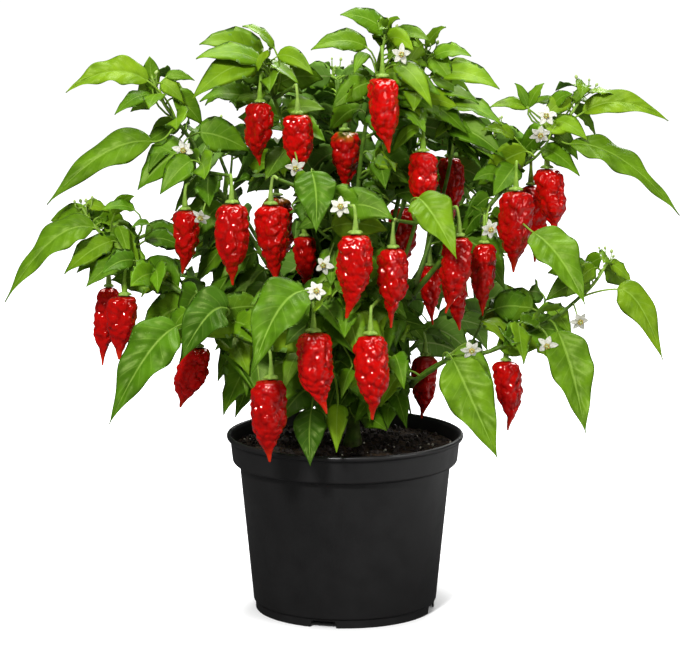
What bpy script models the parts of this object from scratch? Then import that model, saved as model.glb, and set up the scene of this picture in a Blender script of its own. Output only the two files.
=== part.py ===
"""Potted chilli pepper plant: a plastic nursery pot with its soil, and one branching stem that carries wrinkled red
chillies, long drooping leaves, leafy shoots and white flowers.

Metres, +Z up. The origin is on the surface the pot stands on, at the pot's axis; the plant's front faces -Y."""

import math
import random

import bpy
from mathutils import Vector
from mathutils.bvhtree import BVHTree

# Pot. Every radius is measured from its axis, every height from the surface it stands on.
POT_HEIGHT = 0.150
WALL = 0.0016
FOOT_RADIUS = 0.0755
FOOT_HEIGHT = 0.0070
PLATE_UNDERSIDE = 0.0066
PLATE_THICKNESS = 0.0018
BODY_BOTTOM_RADIUS = 0.0772
BODY_TOP_RADIUS = 0.0887
BAND_BOTTOM = 0.1255
BAND_BOTTOM_RADIUS = 0.0945
BAND_TOP_RADIUS = 0.0965
LIP_RADIUS = 0.0995
LIP_HEIGHT = 0.0045
ROUND_SIDES = 40
NOTCHES = 8
NOTCH_WIDTH = 0.021
NOTCH_HEIGHT = 0.0062
FIRST_NOTCH_TURN = math.radians(-104)
DRAIN_RADIUS = 0.005
DRAIN_CIRCLE = 0.062

# Soil.
SOIL_LEVEL = 0.138
SOIL_MOUND = 0.003
SOIL_RINGS = (0.80, 0.52, 0.26)
CRUMB = 0.0012

# Every piece that touches another keeps this gap to it.
GAP = 0.0003

# Stem. The trunk is planted this deep, and each limb runs through its own points from its parent's wood outwards.
TRUNK_RADIUS = 0.0060
PLANTED = 0.022
LIMB_SIDES = 5
TWIG_SIDES = 4
TWIG_RADIUS = 0.0014
LIMB_TIP_RADIUS = 0.0016
TRUNK = ((0.006, 0.000, SOIL_LEVEL - PLANTED), (0.007, 0.000, 0.169), (0.006, 0.000, 0.206))
LIMBS = {
    # name: (radius where it starts, points)
    "left_low": (0.0036, (
        (0.004, 0.000, 0.165), (-0.035, -0.030, 0.199), (-0.066, -0.050, 0.222), (-0.100, -0.050, 0.244),
        (-0.126, -0.050, 0.271), (-0.155, -0.040, 0.289), (-0.179, -0.030, 0.307), (-0.199, -0.022, 0.320))),
    "right_low": (0.0036, (
        (0.008, 0.000, 0.162), (0.032, -0.020, 0.178), (0.054, -0.040, 0.199), (0.084, -0.060, 0.223),
        (0.118, -0.060, 0.230), (0.149, -0.060, 0.246), (0.174, -0.050, 0.258), (0.200, -0.040, 0.278))),
    "right_high": (0.0040, (
        (0.008, 0.000, 0.184), (0.025, 0.002, 0.224), (0.055, 0.002, 0.264), (0.079, -0.008, 0.296),
        (0.103, -0.018, 0.326), (0.128, -0.018, 0.355), (0.153, -0.008, 0.385), (0.183, 0.000, 0.414))),
    "left_high": (0.0040, (
        (0.005, 0.000, 0.184), (-0.028, 0.000, 0.237), (-0.061, -0.008, 0.289), (-0.090, -0.010, 0.336),
        (-0.112, -0.008, 0.366), (-0.126, 0.000, 0.394), (-0.147, 0.000, 0.423))),
    "upper_left": (0.0036, (
        (0.006, 0.000, 0.200), (-0.008, 0.030, 0.258), (-0.028, 0.040, 0.320), (-0.044, 0.030, 0.381),
        (-0.054, 0.020, 0.415), (-0.061, 0.014, 0.436))),
    "top": (0.0040, (
        (0.006, 0.000, 0.200), (0.007, -0.006, 0.273), (0.010, -0.004, 0.349), (0.018, -0.012, 0.417),
        (0.028, -0.022, 0.460))),
    "upper_right": (0.0036, (
        (0.007, 0.000, 0.200), (0.025, 0.030, 0.262), (0.042, 0.032, 0.330), (0.053, 0.022, 0.386),
        (0.059, 0.004, 0.430), (0.062, 0.000, 0.444))),
    "mid_right": (0.0028, (
        (0.055, 0.002, 0.264), (0.073, 0.030, 0.312), (0.084, 0.030, 0.354), (0.089, 0.012, 0.384))),
    "front_left": (0.0030, (
        (0.004, 0.000, 0.173), (-0.008, -0.050, 0.213), (-0.022, -0.092, 0.258), (-0.029, -0.132, 0.294))),
    "front_mid": (0.0032, (
        (0.006, 0.000, 0.195), (0.000, -0.050, 0.264), (-0.008, -0.082, 0.327), (-0.019, -0.094, 0.376))),
    "front_right": (0.0032, (
        (0.006, 0.000, 0.192), (0.024, -0.052, 0.256), (0.048, -0.070, 0.309), (0.060, -0.080, 0.352))),
    "front_low_right": (0.0024, ((0.054, -0.040, 0.199), (0.070, -0.086, 0.219), (0.082, -0.112, 0.234))),
    "front_low_left": (0.0024, (
        (-0.066, -0.050, 0.222), (-0.085, -0.084, 0.245), (-0.104, -0.100, 0.264), (-0.124, -0.108, 0.268))),
    "back_left": (0.0034, (
        (0.006, 0.000, 0.203), (-0.039, 0.076, 0.249), (-0.084, 0.122, 0.310), (-0.108, 0.146, 0.362))),
    "back_mid": (0.0034, (
        (0.006, 0.000, 0.203), (0.004, 0.078, 0.256), (-0.004, 0.124, 0.344), (-0.009, 0.140, 0.412))),
    "back_right": (0.0034, (
        (0.006, 0.000, 0.203), (0.047, 0.076, 0.249), (0.092, 0.120, 0.312), (0.122, 0.142, 0.362))),
    "back_low_left": (0.0030, (
        (0.006, 0.000, 0.180), (-0.030, 0.060, 0.196), (-0.083, 0.118, 0.222), (-0.126, 0.152, 0.250))),
    "back_low_right": (0.0030, (
        (0.006, 0.000, 0.180), (0.039, 0.060, 0.196), (0.088, 0.118, 0.222), (0.135, 0.148, 0.254))),
    "back_low": (0.0030, ((0.006, 0.000, 0.186), (0.000, 0.070, 0.212), (0.005, 0.124, 0.246), (0.009, 0.164, 0.280))),
}
# Limbs that end in a leafy shoot of their own.
SHOOT_LIMBS = (
    "left_low", "right_low", "right_high", "left_high", "upper_left", "top", "upper_right", "mid_right",
    "back_left", "back_mid", "back_right", "back_low")
SHOOT_LENGTH = 0.034
SHOOT_LEAVES = 5
GOLDEN_TURN = math.radians(137.5)

# Chillies: where the shoulder hangs, its length down to the tip of the tail, how far the tip drifts, and its width.
FRUITS = (
    (0.030, -0.060, 0.456, 0.063, 0.003, 0.028),
    (-0.070, -0.006, 0.430, 0.054, -0.004, 0.023),
    (-0.039, -0.020, 0.422, 0.056, 0.001, 0.026),
    (0.000, 0.034, 0.402, 0.056, 0.001, 0.024),
    (0.064, -0.030, 0.392, 0.056, 0.001, 0.025),
    (0.088, 0.048, 0.378, 0.056, 0.003, 0.022),
    (0.167, -0.004, 0.375, 0.058, 0.008, 0.027),
    (0.139, -0.052, 0.363, 0.069, -0.001, 0.029),
    (0.155, 0.018, 0.358, 0.066, 0.006, 0.022),
    (-0.131, -0.038, 0.345, 0.054, 0.000, 0.024),
    (-0.091, -0.092, 0.358, 0.068, 0.000, 0.028),
    (-0.060, -0.064, 0.353, 0.068, 0.004, 0.029),
    (0.008, -0.132, 0.339, 0.069, -0.005, 0.030),
    (0.038, -0.108, 0.324, 0.066, -0.002, 0.026),
    (0.091, -0.098, 0.332, 0.064, -0.006, 0.027),
    (0.113, -0.062, 0.321, 0.061, -0.001, 0.022),
    (-0.180, -0.056, 0.277, 0.054, -0.006, 0.028),
    (-0.198, 0.012, 0.273, 0.068, -0.007, 0.022),
    (-0.121, -0.044, 0.232, 0.052, -0.013, 0.027),
    (-0.025, -0.152, 0.264, 0.067, 0.007, 0.031),
    (0.020, -0.142, 0.260, 0.071, 0.003, 0.030),
    (-0.059, -0.134, 0.223, 0.069, -0.003, 0.031),
    (0.132, -0.052, 0.222, 0.059, 0.005, 0.024),
    (0.068, 0.036, 0.210, 0.056, 0.000, 0.024),
    (-0.060, 0.160, 0.330, 0.066, 0.004, 0.028),
    (0.052, 0.162, 0.320, 0.066, -0.004, 0.028),
)
STALK_RISE = 0.020
STALK_LEAN = 0.007
STALK_RADIUS = 0.0012
# Rings down a chilli: share of its length below the shoulder, and radius as a share of half its width.
FRUIT_RINGS = ((-0.03, 0.34), (0.02, 0.74), (0.24, 1.00), (0.50, 0.92), (0.72, 0.58), (0.86, 0.24), (1.00, 0.05))
FRUIT_SIDES = 6

# Long leaves: where the stalk is seated, the tip, how far the blade arches above the straight line, the blade's
# width, and the way its upper face looks.
LEAVES = (
    ((-0.206, -0.032, 0.328), (-0.279, -0.050, 0.269), 0.018, 0.034, (-0.5, -0.7, 0.5)),
    ((-0.159, -0.014, 0.397), (-0.245, -0.030, 0.347), 0.015, 0.036, (-0.4, -0.7, 0.5)),
    ((-0.162, -0.006, 0.446), (-0.229, -0.018, 0.438), 0.011, 0.028, (-0.2, -0.8, 0.6)),
    ((0.185, -0.014, 0.395), (0.275, -0.030, 0.338), 0.014, 0.032, (0.3, -0.6, 0.7)),
    ((0.196, -0.004, 0.420), (0.266, -0.012, 0.414), 0.011, 0.024, (0.1, -0.5, 0.9)),
    ((0.152, -0.072, 0.330), (0.192, -0.110, 0.277), 0.006, 0.040, (0.3, -0.8, 0.4)),
    ((0.223, -0.044, 0.279), (0.260, -0.060, 0.223), 0.012, 0.032, (0.4, -0.8, 0.3)),
    ((0.172, -0.082, 0.251), (0.193, -0.120, 0.174), 0.004, 0.040, (0.2, -0.9, 0.2)),
    ((0.085, -0.134, 0.238), (0.120, -0.168, 0.164), 0.004, 0.044, (0.1, -0.9, 0.3)),
    ((-0.032, -0.168, 0.298), (-0.072, -0.206, 0.240), 0.012, 0.046, (-0.2, -0.8, 0.5)),
    ((-0.134, -0.124, 0.262), (-0.187, -0.150, 0.188), 0.012, 0.044, (-0.3, -0.9, 0.3)),
    ((-0.094, -0.116, 0.275), (-0.132, -0.134, 0.234), 0.014, 0.042, (-0.1, -0.8, 0.6)),
    ((-0.027, -0.100, 0.191), (-0.028, -0.132, 0.150), 0.002, 0.028, (0.0, -0.9, 0.3)),
    ((-0.027, -0.104, 0.384), (-0.023, -0.134, 0.339), 0.004, 0.036, (0.0, -0.9, 0.4)),
    ((0.058, -0.100, 0.362), (0.088, -0.134, 0.318), 0.008, 0.038, (0.2, -0.8, 0.5)),
)
LEAF_THICKNESS = 0.0011
PETIOLE_RADIUS = 0.0008
# Stations along a blade: share of the way to the tip, and half width as a share of the blade's half width.
BLADE_STATIONS = ((0.14, 0.06), (0.36, 0.92), (0.58, 0.90), (0.82, 0.40), (1.00, 0.02))
BLADE_FOLD = 0.22

# Flowers: where the pedicel is seated, where the middle of the star is, and the way it looks.
FLOWERS = (
    ((-0.133, -0.010, 0.400), (-0.133, -0.024, 0.391), (0.1, -1.0, 0.1)),
    ((-0.118, -0.044, 0.352), (-0.117, -0.062, 0.341), (-0.3, -0.8, -0.5)),
    ((-0.022, -0.146, 0.306), (-0.023, -0.164, 0.297), (0.2, -0.9, 0.3)),
    ((0.188, -0.052, 0.266), (0.191, -0.066, 0.256), (0.3, -0.8, -0.3)),
)
PETALS = 6
PETAL_REACH = 0.0095
PETAL_VALLEY = 0.0040
PEDICEL_RADIUS = 0.0006


def material(name, colour, roughness):
    made = bpy.data.materials.new(name)
    made.use_nodes = True
    shader = made.node_tree.nodes["Principled BSDF"]
    shader.inputs["Base Color"].default_value = (*colour, 1.0)
    shader.inputs["Roughness"].default_value = roughness
    shader.inputs["Metallic"].default_value = 0.0
    made.diffuse_color = (*colour, 1.0)
    return made


def skin(rings):
    """Vertices and faces of a closed tube through rings of equally many points, with a flat cap at each end."""
    sides = len(rings[0])
    points = [p for ring in rings for p in ring]
    faces = [tuple(reversed(range(sides))), tuple(range(len(points) - sides, len(points)))]
    for i in range(len(rings) - 1):
        for j in range(sides):
            k = (j + 1) % sides
            faces.append((i * sides + j, i * sides + k, (i + 1) * sides + k, (i + 1) * sides + j))
    return points, faces


def solid(name, shape, look, smooth=True):
    """An object made of a shape's vertices and faces."""
    mesh = bpy.data.meshes.new(name)
    mesh.from_pydata([tuple(p) for p in shape[0]], [], shape[1])
    mesh.materials.append(look)
    mesh.update()
    if smooth:
        mesh.shade_smooth()
        mesh.set_sharp_from_angle(angle=math.radians(40))
    made = bpy.data.objects.new(name, mesh)
    bpy.context.scene.collection.objects.link(made)
    return made


def helper(name, shape, look):
    """A solid that only serves a Boolean."""
    made = solid(name, shape, look, smooth=False)
    made.hide_render = True
    made.display_type = "WIRE"
    return made


def boolean(target, operand, operation):
    """Joins or cuts target by an object, or by every object in a collection."""
    modifier = target.modifiers.new(operation.lower(), "BOOLEAN")
    modifier.operation = operation
    modifier.solver = "EXACT"
    if isinstance(operand, bpy.types.Collection):
        modifier.operand_type = "COLLECTION"
        modifier.collection = operand
    else:
        modifier.object = operand


def lathe(profile, bump=None):
    """A solid of revolution about Z. The profile's first and last points are on the axis, and bump(i, j) lifts
    point j of ring i."""
    points = [Vector((0, 0, profile[0][1]))]
    for i, (radius, height) in enumerate(profile[1:-1]):
        for j in range(ROUND_SIDES):
            turn = math.tau * j / ROUND_SIDES
            lift = bump(i, j) if bump else 0.0
            points.append(Vector((radius * math.cos(turn), radius * math.sin(turn), height + lift)))
    points.append(Vector((0, 0, profile[-1][1])))
    rings, last, faces = len(profile) - 2, len(points) - 1, []
    for j in range(ROUND_SIDES):
        k = (j + 1) % ROUND_SIDES
        faces.append((0, 1 + k, 1 + j))
        for i in range(rings - 1):
            a, b = 1 + i * ROUND_SIDES, 1 + (i + 1) * ROUND_SIDES
            faces.append((a + j, a + k, b + k, b + j))
        top = 1 + (rings - 1) * ROUND_SIDES
        faces.append((top + j, top + k, last))
    return points, faces


def box(low, high, turn):
    """A box between two corners, turned about Z."""
    xs, ys, zs = zip(low, high)
    c, s = math.cos(turn), math.sin(turn)
    rings = [[Vector((x * c - y * s, x * s + y * c, z)) for x, y in ((xs[0], ys[0]), (xs[1], ys[0]),
                                                                   (xs[1], ys[1]), (xs[0], ys[1]))] for z in zs]
    return skin(rings)


def smooth_path(corners, steps):
    """Points along a Catmull-Rom curve through the corners, the same number in each span."""
    corners = [Vector(c) for c in corners]
    ends = [2 * corners[0] - corners[1], *corners, 2 * corners[-1] - corners[-2]]
    path = []
    for a, b, c, d in zip(ends, ends[1:], ends[2:], ends[3:]):
        for step in range(steps):
            t = step / steps
            path.append(0.5 * (2 * b + (c - a) * t + (2 * a - 5 * b + 4 * c - d) * t * t
                               + (3 * b - a - 3 * c + d) * t * t * t))
    return [*path, corners[-1]]


def bend(start, control, end, steps):
    """Points along a quadratic curve."""
    start, control, end = Vector(start), Vector(control), Vector(end)
    return [start.lerp(control, i / steps).lerp(control.lerp(end, i / steps), i / steps) for i in range(steps + 1)]


def tangents(path):
    ends = [path[0], *path, path[-1]]
    return [(after - before).normalized() for before, after in zip(ends, ends[2:])]


def tube(path, radii, sides, first=None, last=None):
    """A rod along a path, whose rings keep from twisting; its end faces look along first and last. A ring's radius
    may be a pair, for its even and its odd points."""
    rings, side = [], None
    looks = tangents(path)
    looks[0] = Vector(first) if first else looks[0]
    looks[-1] = Vector(last) if last else looks[-1]
    for centre, along, radius in zip(path, looks, radii):
        side = along.orthogonal() if side is None else side - along * side.dot(along)
        side.normalize()
        across = along.cross(side)
        pair = radius if isinstance(radius, tuple) else (radius, radius)
        rings.append([centre + pair[j % 2] * (side * math.cos(math.tau * j / sides)
                                              + across * math.sin(math.tau * j / sides)) for j in range(sides)])
    return skin(rings)


def taper(start, end, count):
    return [start + (end - start) * i / (count - 1) for i in range(count)]


class Room:
    """What has been placed so far, and whether a new shape would cut into it."""

    def __init__(self):
        self.taken = {}

    def place(self, name, shape):
        self.taken[name] = BVHTree.FromPolygons(*shape, epsilon=GAP / 2)

    def blocked_by(self, shape, leave_out=()):
        new = BVHTree.FromPolygons(*shape, epsilon=GAP / 2)
        return [name for name, tree in self.taken.items() if name not in leave_out and new.overlap(tree)]


class Wood:
    """The stem: trunk and limbs by their centrelines, and the twigs that reach each organ's seat."""

    def __init__(self, room):
        self.room = room
        self.rods = {}
        self.reachable = []
        self.add("trunk", smooth_path(TRUNK, 2), TRUNK_RADIUS, TRUNK_RADIUS * 0.8)
        for name, (radius, corners) in LIMBS.items():
            self.add(name, smooth_path(corners, 1), radius, LIMB_TIP_RADIUS)

    def add(self, name, path, start, end, sides=LIMB_SIDES):
        radii = taper(start, end, len(path))
        self.rods[name] = tube(path, radii, sides)
        self.room.place("wood_" + name, self.rods[name])
        for i in range(1, len(path)):
            for share in (0.2, 0.5, 0.8):
                self.reachable.append(path[i - 1].lerp(path[i], share))

    def nearest(self, seat, lift=0.004):
        """Wood points by distance to a seat; one below the seat is better than one above it."""
        return sorted(self.reachable, key=lambda p: (p - seat).length + 0.6 * max(0.0, p.z - seat.z - lift))

    def reach(self, name, seat, arrival):
        """Grows a twig from the nearest free wood to just short of a seat, arriving along a direction."""
        end = seat - arrival * GAP
        for root in self.nearest(seat)[:60]:
            for bow in (0.45, 0.25, 0.75):
                path = bend(root, end - arrival * (end - root).length * bow, end, 2)
                shape = tube(path, taper(TWIG_RADIUS * 1.25, TWIG_RADIUS, len(path)), TWIG_SIDES, last=arrival)
                if all(taken.startswith("wood_") for taken in self.room.blocked_by(shape)):
                    self.rods[name] = shape
                    self.room.place("wood_" + name, shape)
                    return
        raise RuntimeError(f"no way for a twig to reach {name}")


def fruit_shape(spec, seat, arrival):
    """A chilli with its stalk as one solid: from its seat the stalk bends down to the shoulder, then the lobed body
    narrows to a tail."""
    x, y, z, length, drift, width = spec
    top, tip = Vector((x, y, z)), Vector((x + drift, y, z - length))
    path = [seat, seat + arrival * 0.004, top + Vector((0, 0, 0.55 * STALK_RISE)), top + Vector((0, 0, 0.0035))]
    radii = [STALK_RADIUS, STALK_RADIUS, STALK_RADIUS, STALK_RADIUS * 1.5]
    for share, size in FRUIT_RINGS:
        path.append(top.lerp(tip, share))
        radii.append(max(size * width / 2, 0.0007))
    return tube(path, radii, FRUIT_SIDES, first=arrival)


def fruit_seat(spec, wood):
    """Where a chilli's stalk starts, above its shoulder and towards the nearest wood, and the way it sets off."""
    above = Vector(spec[:3]) + Vector((0, 0, STALK_RISE))
    lean = wood.nearest(above)[0] - above
    lean.z = 0
    lean = lean.normalized() if lean.length > 1e-6 else Vector((0, 1, 0))
    return above + lean * STALK_LEAN, (-lean + Vector((0, 0, 0.6))).normalized()


def leaf_shape(base, tip, rise, width, face, leave=None):
    """A leaf with its stalk as one thin solid with lens-shaped sections, folded a little along its midrib."""
    base, tip, face = Vector(base), Vector(tip), Vector(face).normalized()
    control = base.lerp(tip, 0.42) + Vector((0, 0, 2 * rise))
    rings = []
    for i, (share, size) in enumerate(((0.0, 0.0), *BLADE_STATIONS)):
        centre = base.lerp(control, share).lerp(control.lerp(tip, share), share)
        along = (control - base).lerp(tip - control, share).normalized()
        across = along.cross(face).normalized()
        up = across.cross(along)
        half = max(PETIOLE_RADIUS, size * width / 2)
        thick = PETIOLE_RADIUS if i < 2 else LEAF_THICKNESS / 2
        edge = up * (half * BLADE_FOLD if i > 1 else 0.0)
        rings.append([centre - across * half + edge, centre + up * thick, centre + across * half + edge,
                      centre - up * thick])
    return skin(rings)


def leaf_arrival(base, tip, rise):
    control = Vector(base).lerp(Vector(tip), 0.42) + Vector((0, 0, 2 * rise))
    return (control - Vector(base)).normalized()


def flower_parts(seat, middle, look):
    """A six-pointed star on its thin stalk, and the way the stalk sets off."""
    seat, middle, look = Vector(seat), Vector(middle), Vector(look).normalized()
    back = middle - look * 0.004
    path = bend(seat, back - look * 0.008 + Vector((0, 0, 0.004)), back, 2)
    arrival = (path[1] - seat).normalized()
    path += [middle, middle + look * 0.0012, middle + look * 0.0016]
    radii = [PEDICEL_RADIUS, PEDICEL_RADIUS, 0.0022, (PETAL_REACH, PETAL_VALLEY),
             (PETAL_REACH * 0.6, PETAL_VALLEY * 0.8), 0.0012]
    return tube(path, radii, 2 * PETALS, first=arrival), arrival


def shoot_twig(limb):
    """The young wood that carries on from a limb's end."""
    corners = [Vector(c) for c in LIMBS[limb][1]]
    out = (corners[-1] - corners[-2]).normalized()
    start = corners[-1] + out * GAP
    end = start + (out + Vector((0, 0, 0.35))).normalized() * SHOOT_LENGTH
    return start, end, tube([start, start.lerp(end, 0.5), end], (0.0014, 0.0012, 0.0009), LIMB_SIDES, first=out)


def shoot_leaves(name, start, end, room, rng):
    """The leaves that find room round a shoot's twig, each clear of the others."""
    leaves = []
    for i in range(SHOOT_LEAVES):
        share = 0.30 + 0.62 * i / (SHOOT_LEAVES - 1)
        seat = start.lerp(end, share)
        length = 0.052 - 0.022 * share
        for attempt in range(14):
            turn = GOLDEN_TURN * i + rng.uniform(-0.5, 0.5) + attempt * 0.45
            level = Vector((math.cos(turn), math.sin(turn), 0))
            tip = seat + level * length * rng.uniform(0.75, 0.95) + Vector((0, 0, rng.uniform(-0.5, 0.1) * length))
            shape = leaf_shape(seat, tip, 0.16 * length, 0.42 * length, level + Vector((0, -0.3, 1.2)))
            if not room.blocked_by(shape):
                room.place(f"{name}_leaf_{i}", shape)
                leaves.append(shape)
                break
    return leaves


def join(name, parts, look):
    """One object that unites overlapping solids."""
    body = solid(name, parts[0], look, smooth=False)
    group = bpy.data.collections.new(name + "_parts")
    bpy.context.scene.collection.children.link(group)
    for i, shape in enumerate(parts[1:]):
        piece = helper(f"{name}_part_{i}", shape, look)
        bpy.context.scene.collection.objects.unlink(piece)
        group.objects.link(piece)
    group.hide_render = True
    boolean(body, group, "UNION")
    return body


def make_pot(look):
    inner_band = BAND_BOTTOM + 0.001 + WALL
    profile = (
        (0, PLATE_UNDERSIDE), (FOOT_RADIUS - WALL, PLATE_UNDERSIDE), (FOOT_RADIUS - WALL, 0), (FOOT_RADIUS, 0),
        (FOOT_RADIUS, FOOT_HEIGHT), (BODY_BOTTOM_RADIUS, FOOT_HEIGHT + 0.0006), (BODY_TOP_RADIUS, BAND_BOTTOM),
        (BAND_BOTTOM_RADIUS, BAND_BOTTOM + 0.001), (BAND_TOP_RADIUS, POT_HEIGHT - LIP_HEIGHT),
        (LIP_RADIUS, POT_HEIGHT - LIP_HEIGHT + 0.001), (LIP_RADIUS, POT_HEIGHT - 0.0014),
        (LIP_RADIUS - 0.0014, POT_HEIGHT), (BAND_TOP_RADIUS - WALL + 0.0008, POT_HEIGHT),
        (BAND_TOP_RADIUS - WALL, POT_HEIGHT - LIP_HEIGHT), (BAND_BOTTOM_RADIUS - WALL, inner_band),
        (BODY_TOP_RADIUS - WALL, inner_band - 0.0006),
        (BODY_BOTTOM_RADIUS - WALL, PLATE_UNDERSIDE + PLATE_THICKNESS), (0, PLATE_UNDERSIDE + PLATE_THICKNESS))
    pot = solid("pot", lathe(profile), look)
    for i in range(NOTCHES):
        turn = FIRST_NOTCH_TURN + math.tau * i / NOTCHES
        half = NOTCH_WIDTH / 2
        low, high = (FOOT_RADIUS - 0.006, -half, -0.004), (FOOT_RADIUS + 0.004, half, NOTCH_HEIGHT)
        boolean(pot, helper(f"notch_cutter_{i}", box(low, high, turn), look), "DIFFERENCE")
        between = turn + math.pi / NOTCHES
        at = Vector((DRAIN_CIRCLE * math.cos(between), DRAIN_CIRCLE * math.sin(between), 0))
        ends = [at + Vector((0, 0, z)) for z in (-0.004, 0.014)]
        boolean(pot, helper(f"drain_cutter_{i}", tube(ends, (DRAIN_RADIUS, DRAIN_RADIUS), 8), look), "DIFFERENCE")
    return pot


def make_soil(look):
    """Potting soil that fills the pot to just under its rim, mounded round the trunk's socket."""
    rng = random.Random(5)
    inner_band = BAND_BOTTOM + 0.001 + WALL
    slope = (BAND_TOP_RADIUS - BAND_BOTTOM_RADIUS) / (POT_HEIGHT - LIP_HEIGHT - BAND_BOTTOM - 0.001)
    edge = BAND_BOTTOM_RADIUS - WALL + slope * (SOIL_LEVEL - inner_band) - GAP
    floor = PLATE_UNDERSIDE + PLATE_THICKNESS + GAP
    profile = [(0, floor), (BODY_BOTTOM_RADIUS - WALL - GAP, floor), (BODY_TOP_RADIUS - WALL - GAP, inner_band),
               (BAND_BOTTOM_RADIUS - WALL - GAP, inner_band + GAP), (edge, SOIL_LEVEL - 0.001)]
    sides = len(profile) - 2
    for share in SOIL_RINGS:
        profile.append((edge * share, SOIL_LEVEL + SOIL_MOUND * (1 - share)))
    profile.append((0, SOIL_LEVEL + SOIL_MOUND))
    soil = solid("soil", lathe(profile, lambda i, j: rng.uniform(-CRUMB, CRUMB) if i > sides else 0.0), look)
    foot = Vector(TRUNK[0])
    ends = [foot - Vector((0, 0, GAP)), foot + Vector((0, 0, 0.06))]
    socket = (TRUNK_RADIUS + 2 * GAP, TRUNK_RADIUS + 2 * GAP)
    boolean(soil, helper("socket_cutter", tube(ends, socket, 12), look), "DIFFERENCE")
    return soil


def make_plant(looks):
    """Chillies, flowers and long leaves take their places first; the wood then reaches each of them, and the leaves
    of the shoots fill in."""
    room = Room()
    wood = Wood(room)
    twigs = [shoot_twig(limb) for limb in SHOOT_LIMBS]
    for i, (start, end, shape) in enumerate(twigs):
        room.place(f"shoot_{i + 1:02d}_twig", shape)
    seats = []
    for i, spec in enumerate(FRUITS):
        name = f"chilli_{i + 1:02d}"
        seat, arrival = fruit_seat(spec, wood)
        shape = fruit_shape(spec, seat, arrival)
        room.place(name, shape)
        seats.append((name, seat, arrival))
        solid(name, shape, looks["flesh"])
    for i, (seat, middle, look) in enumerate(FLOWERS):
        name = f"flower_{i + 1:02d}"
        shape, arrival = flower_parts(seat, middle, look)
        room.place(name, shape)
        seats.append((name, Vector(seat), arrival))
        solid(name, shape, looks["petal"])
    for i, (base, tip, rise, width, face) in enumerate(LEAVES):
        name = f"leaf_{i + 1:02d}"
        shape = leaf_shape(base, tip, rise, width, face)
        room.place(name, shape)
        seats.append((name, Vector(base), leaf_arrival(base, tip, rise)))
        solid(name, shape, looks["leaf"])
    for name, seat, arrival in seats:
        wood.reach("to_" + name, seat, arrival)
    join("stem", list(wood.rods.values()), looks["stem"])
    for name, shape in wood.rods.items():
        room.place("wood_" + name, shape)
    rng = random.Random(11)
    for i, (start, end, twig) in enumerate(twigs):
        name = f"shoot_{i + 1:02d}"
        del room.taken[name + "_twig"]
        join(name, [twig, *shoot_leaves(name, start, end, room, rng)], looks["leaf"])
        room.place(name + "_twig", twig)


def main():
    for old in list(bpy.data.objects):
        bpy.data.objects.remove(old)
    looks = {
        "plastic": material("pot_plastic", (0.018, 0.018, 0.019), 0.42),
        "soil": material("soil", (0.022, 0.015, 0.010), 0.95),
        "stem": material("stem", (0.10, 0.17, 0.03), 0.55),
        "flesh": material("chilli_flesh", (0.60, 0.012, 0.010), 0.18),
        "leaf": material("leaf", (0.10, 0.26, 0.03), 0.45),
        "petal": material("petal", (0.85, 0.84, 0.72), 0.55),
    }
    make_pot(looks["plastic"])
    make_soil(looks["soil"])
    make_plant(looks)


main()
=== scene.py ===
"""Potted chilli pepper plant: the finished look of every piece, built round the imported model.

Metres, +Z up. The pot's axis is Z and the plant's front faces -Y. Laid out as a Blender add-on; run as a
script it builds the whole plant, its studio and its camera."""

import math

import bpy
import numpy as np
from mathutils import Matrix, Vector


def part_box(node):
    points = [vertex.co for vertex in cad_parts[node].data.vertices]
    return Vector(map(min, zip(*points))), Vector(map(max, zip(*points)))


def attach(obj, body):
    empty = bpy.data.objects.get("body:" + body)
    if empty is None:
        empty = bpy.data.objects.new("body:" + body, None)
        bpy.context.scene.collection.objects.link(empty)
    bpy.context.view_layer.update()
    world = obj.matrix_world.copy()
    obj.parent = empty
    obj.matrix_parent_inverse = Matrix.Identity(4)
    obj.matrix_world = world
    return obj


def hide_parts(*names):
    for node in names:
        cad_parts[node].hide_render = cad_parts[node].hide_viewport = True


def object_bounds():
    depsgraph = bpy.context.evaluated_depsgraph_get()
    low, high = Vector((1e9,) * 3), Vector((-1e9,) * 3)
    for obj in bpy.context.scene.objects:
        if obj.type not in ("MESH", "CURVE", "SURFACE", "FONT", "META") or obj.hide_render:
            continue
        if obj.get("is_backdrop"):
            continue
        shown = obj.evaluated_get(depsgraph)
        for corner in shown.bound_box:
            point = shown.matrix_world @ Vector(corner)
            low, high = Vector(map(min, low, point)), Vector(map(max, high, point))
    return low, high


bl_info = {
    "name": "Potted Chilli Plant",
    "version": (1, 0, 0),
    "blender": (4, 5, 0),
    "location": "3D View > Sidebar > Chilli Plant",
    "description": "Builds a potted chilli pepper plant, its studio and its camera",
    "category": "Add Mesh",
}

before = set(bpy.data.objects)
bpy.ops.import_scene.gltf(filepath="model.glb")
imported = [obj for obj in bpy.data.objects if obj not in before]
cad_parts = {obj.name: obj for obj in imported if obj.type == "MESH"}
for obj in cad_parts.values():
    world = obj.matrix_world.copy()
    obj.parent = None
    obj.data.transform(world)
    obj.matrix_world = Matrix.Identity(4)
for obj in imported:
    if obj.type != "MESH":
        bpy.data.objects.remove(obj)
CAD_LOW, CAD_HIGH = (np.array(corner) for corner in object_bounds())
POT_LOW, POT_HIGH = (np.array(corner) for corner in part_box("pot"))
SOIL_LOW, SOIL_HIGH = (np.array(corner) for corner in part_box("soil"))
BODY = "root"
UP = np.array((0.0, 0.0, 1.0))
# How much a point's nearness to the front lowers it for someone who looks at the plant from its front.
FRONT_SLOPE = 0.178

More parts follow.
